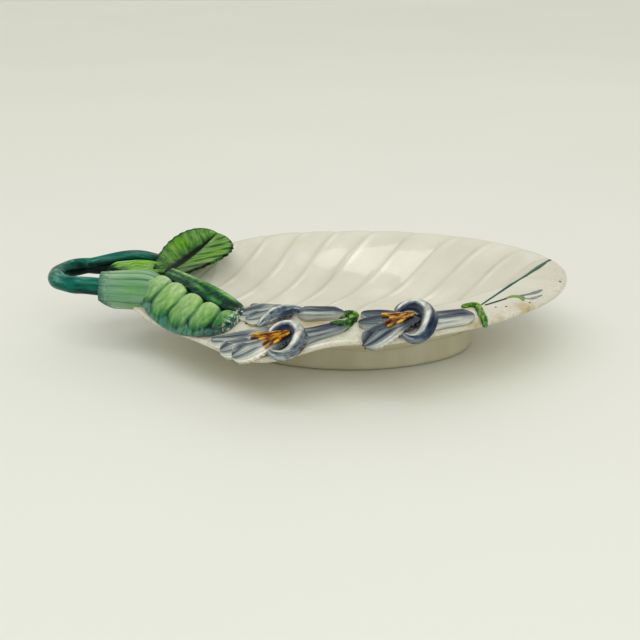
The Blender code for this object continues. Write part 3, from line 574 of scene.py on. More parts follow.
def veined_bowl():
    """Shell of the leaf: its lobed face, a smooth underside and a round rim between them."""
    step = np.linspace(0, 1, LOBE_SAMPLES, endpoint=False)
    step = step - SAMPLE_CROWDING * np.sin(2 * np.pi * step)
    along = (np.arange(LOBES)[:, None] + step).ravel() / LOBES
    along = np.append(along, 1.0)[:, None]
    across = np.linspace(-1, 1, 2 * BOWL_ROWS + 1)[None, :]
    points, lobe, groove, painted_highlight, near = bowl_point(along, across)
    x, y = points[..., 0], points[..., 1]
    slope = np.hypot(*slopes(lip_top, x, y))
    slant = np.minimum(np.sqrt(1 + slope**2), WALL_SLANT)
    share = reach(x, y)
    thinned = between(1, RIM_SHARE, fade(share, RIM_THIN_START, 1))
    under = points.copy()
    under[..., 2] = lip_top(x, y) - BOWL_WALL * thinned * slant
    far_nose = rim_nose(points[:, -1], under[:, -1])
    near_nose = rim_nose(points[:, 0], under[:, 0])
    shell = np.concatenate([points, far_nose, under[:, ::-1], near_nose[:, ::-1], points[:, :1]], axis=1)
    far_paint, near_paint = (np.full((1, NOSE_COLUMNS), place) for place in (1.1, 5.1))
    paint = np.concatenate([across, far_paint, across[:, ::-1] + 4, near_paint, across[:, :1]], axis=1)

    def over(mark, below):
        """The face's mark, carried round the rim, with one value below."""
        far_edge = np.repeat(mark[:, -1:], NOSE_COLUMNS, axis=1)
        near_edge = np.repeat(mark[:, :1], NOSE_COLUMNS + 1, axis=1)
        return np.concatenate([mark, far_edge, below + 0 * mark, near_edge], axis=1)

    lip = near * fade(share, 0.72, 0.95)
    pools = sum(bump_at(np.hypot(x - at_x, y - at_y), 0, span) for at_x, at_y, span in POOLS)
    # Painted light and shade in the tone: lighter on the lobes, darker in the vein grooves, with a painted
    # highlight beside each vein
    obj = grid(
        "veined_bowl", shell, along * LOBES / 4, paint,
        tone=over(0.56 + 0.12 * lobe - 0.25 * groove + 0.35 * painted_highlight, 0.5),
        tint=over(np.clip(0.15 * lip + pools, 0, 1), 0.0),
        wear=over(0.22 * lip * fade(share, 0.86, 1), 0.0),
    )
    dress(obj, WHITE, "white_glaze", "dish_bowl")


def oval_foot():
    """Ring with a bead at the table, a hollow side and a flare where it meets the bowl."""
    inner = FOOT_THICKNESS
    # Inset from the outer side, and share of the height
    profile = np.array([
        (0.0, 1.0), (0.4, 0.78), (0.8, 0.5), (0.2, 0.2), (0.1, 0.08), (0.6, 0.02), (1.6, 0.0),
        (inner / 2, 0.0), (inner - 1.6, 0.0), (inner - 0.6, 0.02), (inner, 0.1), (inner - 0.6, 0.5),
        (inner, 1.0), (inner / 2, 1.0), (0.0, 1.0),
    ])
    run = steps(FOOT_SIDES + 1)[:, None]
    turn = 2 * np.pi * run
    inset, rise = profile.T[:, None]
    x = FOOT_X + (FOOT_HALF_LENGTH - inset) * np.cos(turn)
    y = (FOOT_HALF_WIDTH - inset) * np.sin(turn)
    top = bowl_height(x, y) - BOWL_WALL / 2
    points = np.stack([x, y, top * rise], axis=-1)
    obj = grid("oval_foot", points, run, steps(len(profile))[None, :], tone=0.6)
    dress(obj, FOOT, "foot_glaze", "foot_ring")


# Stalk end
SHEATH_Y = -6.0
SHEATH_HEIGHT = 39.5
SHEATH_OVERHANG = 7.5
SHEATH_LENGTH = 38.0
SHEATH_HALF_WIDTHS = (14.0, 24.0)
SHEATH_RISE = 11.0
SHEATH_FALL = 10.0
SHEATH_SLANT = 9.0
SHEATH_NOSE = 16.0
SHEATH_NOSE_END = 0.3
SHEATH_RIBS = 8
SHEATH_RIB_DEPTH = 1.5
SHEATH_CELLS = (64, 288)
SHEATH_CAP = 8
HANDLE_RADIUS = 5.3
HANDLE_HEIGHT = 45.8
HANDLE_DIP = 3.0
HANDLE_FRONT_Y = -11.0
HANDLE_SPREAD = 38.0
HANDLE_RUN = 15.0
HANDLE_LOOP = 22.0
HANDLE_TUCK = 8.0
HANDLE_LANDING_X = -106.0
HANDLE_LANDING_INSET = 5.5
HANDLE_END_SHARE = 0.75
HANDLE_HUMP = 1.5
HANDLE_RINGS = 150
COIL_SIDES = 48


def ribbed_sheath():
    """Sleeve over the stalk end of the bowl, ribbed above, closed at its start and drawn in at its nose."""
    along, across = spread_of(*SHEATH_CELLS)
    lead = np.vstack([np.zeros((SHEATH_CAP, 1)), along])
    cover = np.append(np.linspace(0, 1, SHEATH_CAP, endpoint=False), np.ones(len(along)))[:, None]
    run = SHEATH_LENGTH * lead
    past = np.maximum((run - SHEATH_LENGTH + SHEATH_NOSE) / SHEATH_NOSE, 0.0)
    nose = between(SHEATH_NOSE_END, 1, np.sqrt(1 - past**2))
    turn = np.pi * across
    spread = between(*SHEATH_HALF_WIDTHS, lead)
    upward = np.sin(turn) > 0
    swell = np.abs(arch(across * SHEATH_RIBS)) ** 0.6
    strength = (0.35 + 0.65 * fade(lead, 0, 0.25)) * (1 - 0.75 * fade(across, 0.62, 0.8))
    rib = np.where(upward, SHEATH_RIB_DEPTH * (1 - (1 - swell) * strength), 0.0)
    height = np.where(upward, SHEATH_RISE, SHEATH_FALL) + rib
    rim = np.where(cover < 1, np.sqrt(1 - (1 - cover) ** 2), 1.0)
    low = fade(-np.sin(turn), -0.1, 1.0) * (1 - lead)
    x = BASE_X - SHEATH_OVERHANG + run + SHEATH_SLANT * low
    y = SHEATH_Y + (spread + rib) * np.cos(turn) * nose * rim
    z = SHEATH_HEIGHT + height * np.sin(turn) * nose * rim
    groove = (1 - swell) * strength * upward
    front = fade(across, 0.55, 0.8)
    start = 1 - fade(lead, 0, 0.12)
    # Painted shade: darker in the grooves between the ribs
    tone = 0.76 - 0.24 * front - 0.5 * groove - 0.3 * (1 - rim) - 0.35 * start
    low_middle = bump_at(lead, 0.6, 0.3) * np.where(upward, bump_at(across, 0.8, 0.14), 1.0)
    obj = grid(
        "ribbed_sheath", np.stack(np.broadcast_arrays(x, y, z), axis=-1), lead, across,
        tone=tone, tint=0.85 * low_middle, wear=1 - fade(lead, 0.02, 0.3),
    )
    dress(obj, SHEATH, "sheath_glaze", "stem_sheath")


def loop_handle():
    """Coil that leaves the sheath, turns back in a loop and lands, twisted, on the far lip."""
    landing_y = rim_half_width(HANDLE_LANDING_X) - HANDLE_LANDING_INSET
    landing_z = bowl_height(HANDLE_LANDING_X, landing_y) + HANDLE_END_SHARE * HANDLE_RADIUS - PRESS
    landing = np.array((HANDLE_LANDING_X, landing_y, landing_z))
    start = (BASE_X + HANDLE_TUCK, HANDLE_FRONT_Y, HANDLE_HEIGHT - HANDLE_DIP)
    turn = np.linspace(0, np.pi, 10)
    loop_x = BASE_X - HANDLE_RUN - HANDLE_LOOP * np.sin(turn)
    loop_y = HANDLE_FRONT_Y + HANDLE_SPREAD / 2 * (1 - np.cos(turn))
    loop = np.column_stack([loop_x, loop_y, HANDLE_HEIGHT + 0 * turn])
    back = [between(loop[-1], landing, share) for share in (0.4, 0.75, 1.0)]
    path = through([start, *loop, *back], HANDLE_RINGS)
    place = steps(len(path))
    path[:, 2] += HANDLE_HUMP * bump_at(place, 0.87, 0.07)
    wobble = 1 + 0.035 * np.sin(23 * place) + 0.025 * np.sin(41 * place + 1)
    end = fade(place, 0.8, 0.95)
    wide = HANDLE_RADIUS * wobble * (1 + 0.4 * bump_at(place, 0.9, 0.06) - 0.2 * end)
    tall = HANDLE_RADIUS * wobble * (1 - 0.2 * end + 0.5 * bump_at(place, 0.86, 0.06))

    def twist(along, turn):
        knots = fade(along, 0.6, 0.85)
        threads = (0.02 + 0.08 * knots) * np.sin(3 * turn + 14 * along)
        return threads + 0.06 * knots * np.sin(5 * turn - 40 * along)

    points, along, across = sweep(path, wide, tall, COIL_SIDES, swell=twist)
    # Painted light and shade: darker on the inner side of the coil from the loop on and in the dips of its
    # twist, lighter on top and on the ridges of the twist, with a painted highlight on the left bend; the
    # back bar is darker by the upright leaf
    inner = bump_at(across, -0.06, 0.15) + bump_at(across, 0.94, 0.15)
    tone = 0.54 + 0.16 * np.sin(2 * np.pi * across) - 0.6 * inner * fade(along, 0.2, 0.5)
    tone = tone + 0.14 * bump_at(along, 0.3, 0.12) + 1.6 * twist(along, 2 * np.pi * across)
    tone = tone - 0.22 * bump_at(along, 0.9, 0.08)
    obj = grid("loop_handle", points, along * 6, across, tone=tone, tint=0.25)
    dress(obj, STALK, "stalk_glaze", "stem_handle")


# Leaves and petals
BLADE_SWEEP = 0.5
BLADE_ROUND = 0.75
BLADE_BLUNTNESS = 0.12
BLADE_FOLD = 1.2
BLADE_THICKNESS = 3.6
BLADE_WAVES = 70
LEAF_RIM = 0.7
FINE_RIM = 0.6


def blade(
    spine, widths, lifts, relief, cells, settle,
    ragged=0.0, fullness=BLADE_ROUND, swept_on=BLADE_SWEEP,
):
    """Upper face of a leaf along a bent spine, with the edge widths and lifts of its left and right half.
    relief(along, edge, left) is the modelled surface and settle(height, below) seats it over the bowl."""
    along, across = spread_of(*cells)
    edge = np.abs(across)
    left = across > 0
    start, bend, end = (np.array(point, float) for point in spine)
    swept = (along + swept_on * edge * along * (1 - along))[..., None]
    point = start * (1 - swept) ** 2 + bend * (2 * swept * (1 - swept)) + end * swept**2
    ahead = (bend - start) * (1 - swept) + (end - bend) * swept
    ahead = unit(ahead * np.array([1.0, 1.0, 0.0]))
    ripe = between(BLADE_BLUNTNESS, 1, along)
    spread = np.maximum(arch(ripe), 0.0) ** fullness
    spread[-1] = 0.0
    nicks = ragged * edge**4 * np.sin(BLADE_WAVES * along + 3 * left)
    reach_out = np.sign(across) * np.where(left, *widths) * (1 + nicks) * spread * edge
    side = np.stack([-ahead[..., 1], ahead[..., 0], 0 * ahead[..., 0]], axis=-1)
    point = point + side * reach_out[..., None]
    raised = point[..., 2] + np.where(left, *lifts) * spread * edge**BLADE_FOLD
    swell = relief(along, edge, left) * spread
    point[..., 2] = settle(raised, bowl_height(point[..., 0], point[..., 1])) + swell
    return point, along, across, edge, left


def on_lobes(height, below):
    return np.maximum(height, below + LOBE_HEIGHT + BLADE_THICKNESS - PRESS)


UPRIGHT_BASE = (-106.0, 11.0, 45.5)
UPRIGHT_MIDDLE = (-93.0, 46.0)
UPRIGHT_END = (-75.5, 60.0, 56.5)
UPRIGHT_WIDTHS = (18.5, 27.0)
UPRIGHT_LIFTS = (6.3, 4.0)
UPRIGHT_VEINS = 8
UPRIGHT_SWEEP = 0.68
UPRIGHT_CELLS = (144, 96)


def upright_leaf():
    middle = bowl_height(*UPRIGHT_MIDDLE) + BLADE_THICKNESS - PRESS
    spine = (UPRIGHT_BASE, (*UPRIGHT_MIDDLE, middle), UPRIGHT_END)

    def veins_at(along):
        return np.abs(arch(along * UPRIGHT_VEINS)) ** 0.7

    def relief(along, edge, left):
        return 0.6 * veins_at(along) * arch(edge) - 1.4 * bump_at(edge, 0, 0.07)

    points, along, across, edge, left = blade(
        spine, UPRIGHT_WIDTHS, UPRIGHT_LIFTS, relief, UPRIGHT_CELLS, on_lobes,
        ragged=0.02, swept_on=UPRIGHT_SWEEP,
    )
    veined = 0.43 + 0.14 * veins_at(along) + 0.12 * arch(edge)
    stripes = np.sin(2 * np.pi * (5.5 * along - 0.6 * edge)) + 0.4 * np.sin(29 * along + 5 * edge)
    striped = 0.72 - 0.4 * fade(stripes, -0.2, 1.3) * fade(edge, 0.1, 0.5)
    midrib = bump_at(edge, 0, 0.14 - 0.09 * along)
    # Painted shade in the hollow of the fold along the midrib, mostly on the left half. The leaf is also
    # darker towards its edge and at its base
    hollow = bump_at(edge, 0, 0.4) * np.where(left, 1.0, 0.3)
    start = 1 - fade(along, 0, 0.25)
    tone = np.where(left, veined, striped) - 0.8 * midrib - 0.28 * fade(edge, 0.9, 1)
    obj = grid("upright_leaf_blade", points, along, across, tone=tone - 0.3 * start - 0.2 * hollow)
    thicken(obj, BLADE_THICKNESS, 1 - 0.5 * edge, LEAF_RIM)
    dress(obj, LEAF, "leaf_glaze", "upright_leaf")


FOLDED_SPINE = ((-107.0, 1.0, 47.5), (-83.0, -40.0, 46.5), (-57.0, -57.0, 41.0))
FOLDED_WIDTHS = (10.5, 29.0)
FOLDED_LIFTS = (5.0, -12.0)
FOLDED_FULLNESS = 0.42
FOLDED_PUFF = 5.5
FOLDED_LOBES = 5
FOLDED_LOBE_HALF = 0.142
FOLDED_LOBE_OUT = 0.47
FOLDED_LOBE_REACH = 0.5
FOLDED_BLEND = 9
FOLDED_CELLS = (180, 140)


def egg_lobes(along, edge):
    """Swell of the folded leaf's puffed lobes: a row of eggs that overlap in soft creases."""
    blend = 0 * along * edge
    out = (edge - FOLDED_LOBE_OUT) / FOLDED_LOBE_REACH
    for number in range(FOLDED_LOBES):
        past = (along - (number + 0.5) / FOLDED_LOBES) / FOLDED_LOBE_HALF
        blend = blend + np.maximum(1 - past**2 - out**2, 0.0) ** (FOLDED_BLEND / 2)
    return np.minimum(blend ** (1 / FOLDED_BLEND), 1.0)


def folded_leaf():
    """Leaf bent over the lip: a flat strip on its far side and puffed lobes on its near side."""

    def relief(along, edge, left):
        front = FOLDED_PUFF * egg_lobes(along, edge)
        return np.where(left, 0.8 * arch(edge), front) - 1.2 * bump_at(edge, 0, 0.06)

    points, along, across, edge, left = blade(
        FOLDED_SPINE, FOLDED_WIDTHS, FOLDED_LIFTS, relief, FOLDED_CELLS, on_lobes, fullness=FOLDED_FULLNESS,
    )
    puff = egg_lobes(along, edge)
    slope = fade(edge, FOLDED_LOBE_OUT - FOLDED_LOBE_REACH, FOLDED_LOBE_OUT + FOLDED_LOBE_REACH)
    # Painted light and shade on the lobes: lighter where they swell and towards their upper side, darker in
    # the creases between them
    crease = fade(np.abs((along * FOLDED_LOBES) % 1.0 - 0.5) * 2, 0.68, 1.0) * fade(puff, 0, 0.4)
    front = 0.24 + 0.34 * fade(puff, 0, 0.75) + 0.3 * (1 - slope) * fade(puff, 0.2, 0.6)
    front = front - 0.28 * crease + 0.14 * (1 - fade(puff, 0, 0.2))
    ribs = bump_at(edge, 0.4 + 0.15 * np.sin(7 * along), 0.12) * (0.6 + 0.4 * np.sin(23 * along))
    pale_edge = bump_at(edge, 0.92, 0.16) * (0.75 + 0.25 * np.sin(13 * along))
    strip = 0.2 + 0.56 * pale_edge + 0.34 * ribs
    tip = fade(along, 0.86, 0.98)
    tone = np.where(left, strip, front) - 0.2 * bump_at(edge, 0, 0.06)
    tone = tone - 0.2 * fade(along, 0.66, 0.86) - 0.35 * tip * (1 - 0.6 * puff)
    bare = (1 - fade(puff, 0, 0.35)) * fade(edge, 0.4, 0.7)
    margin = np.where(left, 0.0, bare) + 0.5 * tip
    obj = grid(
        "folded_leaf_blade", points, along, across,
        tone=tone, tint=np.clip(margin, 0, 1) * 0.85, wear=tip * 0.9,
    )
    thicken(obj, BLADE_THICKNESS, 1 - 0.4 * edge, LEAF_RIM)
    dress(obj, LOBED_LEAF, "leaf_glaze", "folded_leaf")


SMALL_SPINE = ((-106.0, 13.0, 46.5), (-122.0, 16.0, 46.5), (-144.0, 9.0, 46.5))
SMALL_WIDTHS = (8.0, 8.0)
SMALL_LIFTS = (3.5, 4.5)
SMALL_CELLS = (72, 48)


def small_leaf():
    """Leaf along the stalk, whose far end opens like a mouth."""

    def relief(along, edge, left):
        open_side = np.where(left, -1.5, 3.0) * fade(along, 0.5, 0.9) * edge**1.5
        return open_side + 0.5 * arch(edge) * np.sin(30 * along) - 1.4 * bump_at(edge, 0, 0.25)

    points, along, across, edge, left = blade(
        SMALL_SPINE, SMALL_WIDTHS, SMALL_LIFTS, relief, SMALL_CELLS, on_lobes,
    )
    # Painted shade in the open mouth at the far end, most on the inside of the near half. The leaf is also
    # darker at both ends and along its midrib
    mouth = fade(along, 0.55, 0.8) * (0.75 * bump_at(edge, 0, 0.5) + 0.8 * left * bump_at(edge, 0.6, 0.4))
    ends = 0.4 * (1 - fade(along, 0, 0.3)) + 0.7 * fade(along, 0.72, 0.92)
    tone = 0.6 + 0.2 * edge - mouth - ends - 0.25 * bump_at(edge, 0, 0.15)
    obj = grid("small_leaf_blade", points, along, across, tone=tone)
    thicken(obj, BLADE_THICKNESS, 0.8 - 0.3 * edge, FINE_RIM)
    dress(obj, PALE_LEAF, "pale_leaf_glaze", "small_leaf")


# Flowers on the near lip. Each is at a place along the lip, inset from the rim and turned by some degrees.
# From there, along the lip and outward: the throat and the two ends of the tube, with the tube's half width
FLOWERS = {
    "flower_1": {"at": (-32.0, 12.0, 18.0), "throat": (4.0, 1.0), "tube": ((5.0, 4.0), (34.0, 1.5), 5.4)},
    "flower_2": {"at": (-31.0, 29.0, 8.0), "throat": (3.0, -3.0), "tube": ((6.0, -2.5), (33.0, -2.0), 5.6)},
    "flower_3": {"at": (35.0, 8.0, 6.0), "throat": (6.0, -4.0), "tube": ((10.0, -2.5), (40.0, -0.5), 9.0)},
}
# Petals of each flower, the uppermost first: degrees round from the tube's line, length, half width
PETALS = {
    "flower_1": {"front": (6.0, 35.0, 9.5), "middle": (-6.0, 41.0, 9.0), "back": (-18.0, 47.0, 8.5)},
    "flower_2": {"front": (0.0, 27.0, 7.0), "middle": (-12.0, 33.0, 7.0), "back": (-25.0, 28.0, 7.0)},
    "flower_3": {"front": (22.0, 37.0, 8.5), "middle": (-12.0, 32.0, 8.5), "back": (-36.0, 32.0, 8.0)},
}
# Rolled petal of each flower, an arc of an oval on the lip: its middle along the lip and outward, half depth,
# half span, tilt and the two ends of the arc in degrees, the coil's radius and its height at the top
ROLLS = {
    "flower_1": ((-3.0, 5.0), 9.5, 12.5, 0.0, (140.0, -125.0), 4.2, 4.6),
    "flower_2": ((7.0, 25.0), 30.0, 30.0, 0.0, (-138.0, -88.0), 3.2, 4.0),
    "flower_3": ((3.0, -3.0), 10.0, 17.0, 13.0, (115.0, -125.0), 4.2, 6.0),
}
# Stamens: their root along the lip and outward, and two prongs by degrees round and length
STAMENS = {
    "flower_1": ((1.0, 3.5), ((-15.0, 21.0), (23.0, 16.0))),
    "flower_3": ((4.5, -4.3), ((-11.0, 17.0), (23.0, 20.0))),
}
# Petals: how much darker than white each flower's are brushed, and how full they are
PETAL_SHADES = {"flower_1": 0.12, "flower_2": 0.16, "flower_3": 0.38}
PETAL_FULLNESS = {"flower_1": 0.45, "flower_2": 0.5, "flower_3": 0.52}
PETAL_CELLS = (72, 56)
PETAL_THICKNESS = 3.2
PETAL_ARCH = 2.4
PETAL_CURL = 1.0
PETAL_LAYER = 0.6
# Tubes: how much paler the outer side of each is brushed
TUBE_SHINES = {"flower_1": 0.02, "flower_2": 0.2, "flower_3": 0.3}
TUBE_RINGS = 60
TUBE_SIDES = 64
TUBE_HALF_HEIGHT = 4.4
TUBE_END_SHARE = 0.8
TUBE_END_ROUND = 6.0
TUBE_MOUTH_SHARE = 1.25
TUBE_MOUTH_HEIGHT = 1.6
TUBE_LEAN = 3.0
TUBE_CLOSING = 4.0
THROAT_DEPTH = 12.0
THROAT_RINGS = 24
# Rolls: how much darker the outer side of each is brushed, and how worn each is
ROLL_SHADES = {"flower_1": 0.1, "flower_2": 0.15, "flower_3": 0.5}
ROLL_WEAR = {"flower_1": 1.0, "flower_2": 0.2, "flower_3": 0.15}
ROLL_RINGS = 64
ROLL_FLATNESS = (1.12, 0.92)
ROLL_END_SHARE = 0.5
ROLL_END_HEIGHT = 2.8
STRANDS = 7
STRAND_RINGS = 40
STRAND_SIDES = 10
STAMEN_HEIGHT = 6.6
STAMEN_RISE = -1.2


def lip_frame(x, inset, turn=0.0):
    """Plan origin on the near lip, with the directions along the rim to the tip and out over the rim."""
    y = inset - rim_half_width(x) * near_stretch(x)
    fall = rim_half_width(x - LIP_WIDTH) - rim_half_width(x + LIP_WIDTH)
    angle = math.atan2(fall, 2 * LIP_WIDTH) + math.radians(turn)
    ahead = np.array((math.cos(angle), math.sin(angle)))
    return np.array((x, y)), ahead, np.array((ahead[1], -ahead[0]))


def lip_plan(place, along, outward):
    origin, ahead, out = place
    return origin + np.multiply.outer(along, ahead) + np.multiply.outer(outward, out)


def on_lip(place, along, outward, height):
    plan = lip_plan(place, np.asarray(along, float), np.asarray(outward, float))
    z = bowl_height(plan[..., 0], plan[..., 1]) + height
    return np.concatenate([plan, np.asarray(z)[..., None]], axis=-1)


def flower_tube(flower, place, start, end, half_width):
    """Flattened trumpet. Its mouth opens forward on a dark throat, or, on a flower turned away, closes."""
    mouth = on_lip(place, *start, TUBE_MOUTH_HEIGHT)
    far = on_lip(place, *end, TUBE_END_SHARE * TUBE_HALF_HEIGHT - PRESS)
    length = np.linalg.norm(far - mouth)
    axis = unit(far - mouth)
    side = unit(np.cross(axis, [0.0, 0.0, 1.0]))
    up = np.cross(side, axis)
    outer = np.linspace(length, 0, TUBE_RINGS)
    flare = np.maximum(1 - outer / THROAT_DEPTH, 0.0) ** 1.6
    share = between(TUBE_END_SHARE, 1, 1 - outer / length) + (TUBE_MOUTH_SHARE - 1) * flare
    share = share * np.sqrt(np.clip((length - outer) / TUBE_END_ROUND, 0, 1))
    inner = np.linspace(0, THROAT_DEPTH, THROAT_RINGS)
    throat = (TUBE_MOUTH_SHARE - 0.15) * np.sqrt(np.maximum(1 - (inner / THROAT_DEPTH) ** 1.3, 0.0))
    lean = TUBE_LEAN
    if flower not in STAMENS:
        share = np.minimum(share, 1.0) * np.sqrt(np.clip((outer + 0.2) / TUBE_CLOSING, 0, 1))
        throat = 0.1 * throat
        lean = 0.0
    at = np.concatenate([outer, inner])[:, None]
    share = np.concatenate([share, throat])[:, None]
    inside = np.arange(len(at))[:, None] >= TUBE_RINGS
    turn = np.linspace(0, 2 * np.pi, TUBE_SIDES + 1)[None, :]
    forward = at + lean * (1 - fade(at, 0, 9.0)) * np.sin(turn)
    ribs = 0.25 * np.cos(10 * turn) * fade(at, 3.0, 12.0) * (1 - fade(at, length - 10, length))
    points = (
        mouth + axis * forward[..., None]
        + side * (share * half_width * np.cos(turn))[..., None]
        + up * ((share * TUBE_HALF_HEIGHT + ribs) * np.sin(turn))[..., None]
    )
    pale = TUBE_SHINES[flower] * fade(np.cos(turn), 0.4, 1.0)
    streak = bump_at(at, length * 0.72, 11.0) * bump_at(np.cos(turn), -0.05, 0.5) * (np.sin(turn) > 0)
    skin = 0.5 + 0.11 * np.cos(10 * turn) - 0.15 * np.sin(turn) + pale - 0.5 * streak
    # Painted shade inside the throat: darker deeper in, with radial lines
    rays = 0.2 - 0.3 * fade(at, 1.0, 7.0) + 0.12 * np.sin(9 * turn)
    obj = grid(
        f"{flower}_trumpet", points, at / 20, turn,
        tone=np.where(inside, rays, skin), tint=np.where(inside, 0.7, 0.95 * streak),
    )
    dress(obj, PETAL, "petal_glaze", f"{flower}_tube")


def flower_petal(flower, petal, place, throat, form, height):
    degrees, length, half_width = form
    turn = math.radians(degrees)
    run, out = -math.cos(turn), math.sin(turn)
    spine = [
        (*lip_plan(place, throat[0] + step * run, throat[1] + step * out), height + rise)
        for step, rise in ((0.0, PETAL_ARCH), (length / 2, PETAL_ARCH), (length, 0.0))
    ]

    def relief(along, edge, left):
        ribs = 0.4 * np.cos(3 * np.pi * edge) * fade(along, 0.1, 0.4)
        return ribs + 0.6 * fade(along, 0.7, 0.95) * edge**2

    points, along, across, edge, _ = blade(
        spine, (half_width, half_width), (-PETAL_CURL, -PETAL_CURL), relief, PETAL_CELLS, np.add,
        ragged=0.03, fullness=PETAL_FULLNESS[flower],
    )
    shade = PETAL_SHADES[flower]
    stroke = np.minimum(bump_at(across, -0.25, 0.4) + 0.7 * bump_at(across, 0.55, 0.16), 1.0)
    tone = 0.96 - shade - 0.62 * stroke * fade(along, 0.2, 0.6) - 0.12 * fade(along, 0.75, 1)
    tone = tone - 0.75 * (1 - fade(along, 0.1, 0.42)) + 0.08 * fade(edge, 0.88, 0.98)
    blue = (0.4 + shade) * stroke * bump_at(along, 0.65, 0.3) + 0.8 * (1 - fade(along, 0.1, 0.4))
    obj = grid(
        f"{flower}_{petal}_blade", points, along, across + degrees / 7,
        tone=tone, tint=blue, wear=0.6 * fade(edge, 0.92, 1),
    )
    thicken(obj, PETAL_THICKNESS, 1 - 0.25 * edge, FINE_RIM)
    dress(obj, PETAL, "petal_glaze", f"{flower}_{petal}_petal")


def flower_roll(flower, place, middle, depth, span, tilt, ends, radius, top):
    """Petal rolled back round the mouth: a flattened scroll that thins towards its two ends."""
    share = steps(ROLL_RINGS)
    turn = np.radians(between(*ends, share))
    tilt = math.radians(tilt)
    deep, wide = depth * np.cos(turn), span * np.sin(turn)
    run = middle[0] + deep * math.cos(tilt) - wide * math.sin(tilt)
    out = middle[1] + deep * math.sin(tilt) + wide * math.cos(tilt)
    path = on_lip(place, run, out, between(ROLL_END_HEIGHT, top, arch(share)))
    coil = radius * between(ROLL_END_SHARE, 1, arch(share) ** 0.8)

    def folds(along, turn):
        fine = 0.035 * np.sin(7 * turn - 11 * along) * fade(along, 0.1, 0.4)
        return 0.07 * np.sin(3 * turn + 6 * along) + fine

    points, along, across = sweep(path, *(coil * flat for flat in ROLL_FLATNESS), COIL_SIDES, swell=folds)
    # Painted light and shade: a painted highlight along the crown and painted shade on the inner side that
    # faces the throat, also tinted blue there; the folds are lighter where they swell
    facing = np.cos(2 * np.pi * across)
    crown = np.sin(2 * np.pi * across)
    outer = fade(facing, 0, 0.55)
    pale = fade(crown, 0.3, 0.9) * (1 - outer)
    dark = ROLL_SHADES[flower] * outer * bump_at(along, 0.5, 0.3)
    tone = 0.58 + 0.2 * pale - 0.5 * fade(-facing, 0.2, 0.95) - 0.08 * outer - dark
    worn = bump_at(along, 0.38, 0.15) * fade(facing, -0.2, 0.4) * (1 - 0.6 * fade(crown, 0.5, 1))
    obj = grid(
        f"{flower}_scroll", points, along * 2, across,
        tone=tone + 1.4 * folds(along, 2 * np.pi * across),
        tint=0.9 * fade(-facing, 0.3, 0.9) + 2 * dark,
        wear=ROLL_WEAR[flower] * worn,
    )
    dress(obj, ROLL, "rolled_petal_glaze", f"{flower}_rolled_petal")


def flower_stamens(flower, place, root, prongs):
    """Two sprays of knobbed filaments that lie out of the throat, as one piece."""
    meshes = []
    share = steps(STRAND_RINGS)
    for prong, (degrees, length) in enumerate(prongs):
        for strand in range(STRANDS):
            spread = strand - STRANDS // 2
            angle = math.radians(degrees + 1.8 * spread)
            run = length * (0.98 - 0.1 * ((strand * 3 + prong) % 4)) * share
            wave = 0.5 * np.sin(7 * share + 2 * strand + prong) * share
            back = root[0] - run * math.cos(angle) - wave * math.sin(angle)
            outward = root[1] + run * math.sin(angle) - wave * math.cos(angle) + 0.35 * spread
            rise = STAMEN_HEIGHT + STAMEN_RISE * share + 0.5 * (strand % 2) * arch(share)
            knob = 0.45 + 0.22 * np.abs(np.sin(16 * share + strand)) + 0.3 * bump_at(share, 0.8, 0.2)
            points, along, across = sweep(on_lip(place, back, outward, rise), knob, knob, STRAND_SIDES, 4)
            number = prong * STRANDS + strand
            tone = 0.1 + 0.55 * abs(spread) / 3 + 0.3 * np.sin(9 * along + 2 * number)
            meshes.append(grid(f"{flower}_filament_{number}", points, along + number, across, tone=tone))
    dress(joined(meshes, f"{flower}_filaments"), STAMEN, "stamen_glaze", f"{flower}_stamens")


def lay_flower(name):
    spot = FLOWERS[name]
    place = lip_frame(*spot["at"])
    flower_tube(name, place, *spot["tube"])
    for layer, (petal, form) in enumerate(PETALS[name].items()):
        height = PETAL_THICKNESS - PRESS + PETAL_LAYER * (len(PETALS[name]) - 1 - layer)
        flower_petal(name, petal, place, spot["throat"], form, height)
    flower_roll(name, place, *ROLLS[name])
    if name in STAMENS:
        flower_stamens(name, place, *STAMENS[name])


# Sepals between the flowers: a hook with a tail, and a band with a bent end
CURL_PLACE = (3.0, 23.0)
CURL_RADIUS = 3.7
CURL_ENDS = (-160.0, 30.0)
CURL_TAIL = 14.0
WRAP_X = 79.0
WRAP_INSETS = (18.0, -3.5)
WRAP_BEND = 4.0
WRAP_RUN = 3.0
SEPAL_RADIUS = 2.3
BAND_RADIUS = 1.9
# Side leaf of the hook, along and out from the first flower's place on the lip
SIDE_LEAF = ((33.0, 3.0), (29.0, 2.4), (24.5, 1.0))
SIDE_LEAF_HEIGHT = 5.6
SEPAL_RINGS = 96
SEPAL_SIDES = 36
SEPAL_WRAPS = 6
SIDE_LEAF_RINGS = 40
SIDE_LEAF_SIDES = 24


def curl_plan():
    place = lip_frame(*CURL_PLACE)
    turn = np.radians(np.linspace(*CURL_ENDS, 24))
    tail = np.linspace(0, CURL_TAIL, 24)[1:]
    along, outward = CURL_RADIUS * np.cos(turn), CURL_RADIUS * np.sin(turn)
    along = np.append(along, along[-1] - tail * np.sin(turn[-1]))
    outward = np.append(outward, outward[-1] + tail * np.cos(turn[-1]))
    return lip_plan(place, along, outward)


def wrap_plan():
    corner = lip_frame(WRAP_X, WRAP_INSETS[0])
    turn = np.linspace(0, np.pi / 2, 12)
    along = np.append(-WRAP_BEND - WRAP_RUN, WRAP_BEND * (np.sin(turn) - 1))
    outward = np.append(-WRAP_BEND, -WRAP_BEND * np.cos(turn))
    band = [lip_frame(WRAP_X, inset)[0] for inset in np.linspace(*WRAP_INSETS, 16)[1:]]
    return np.vstack([lip_plan(corner, along, outward), band])


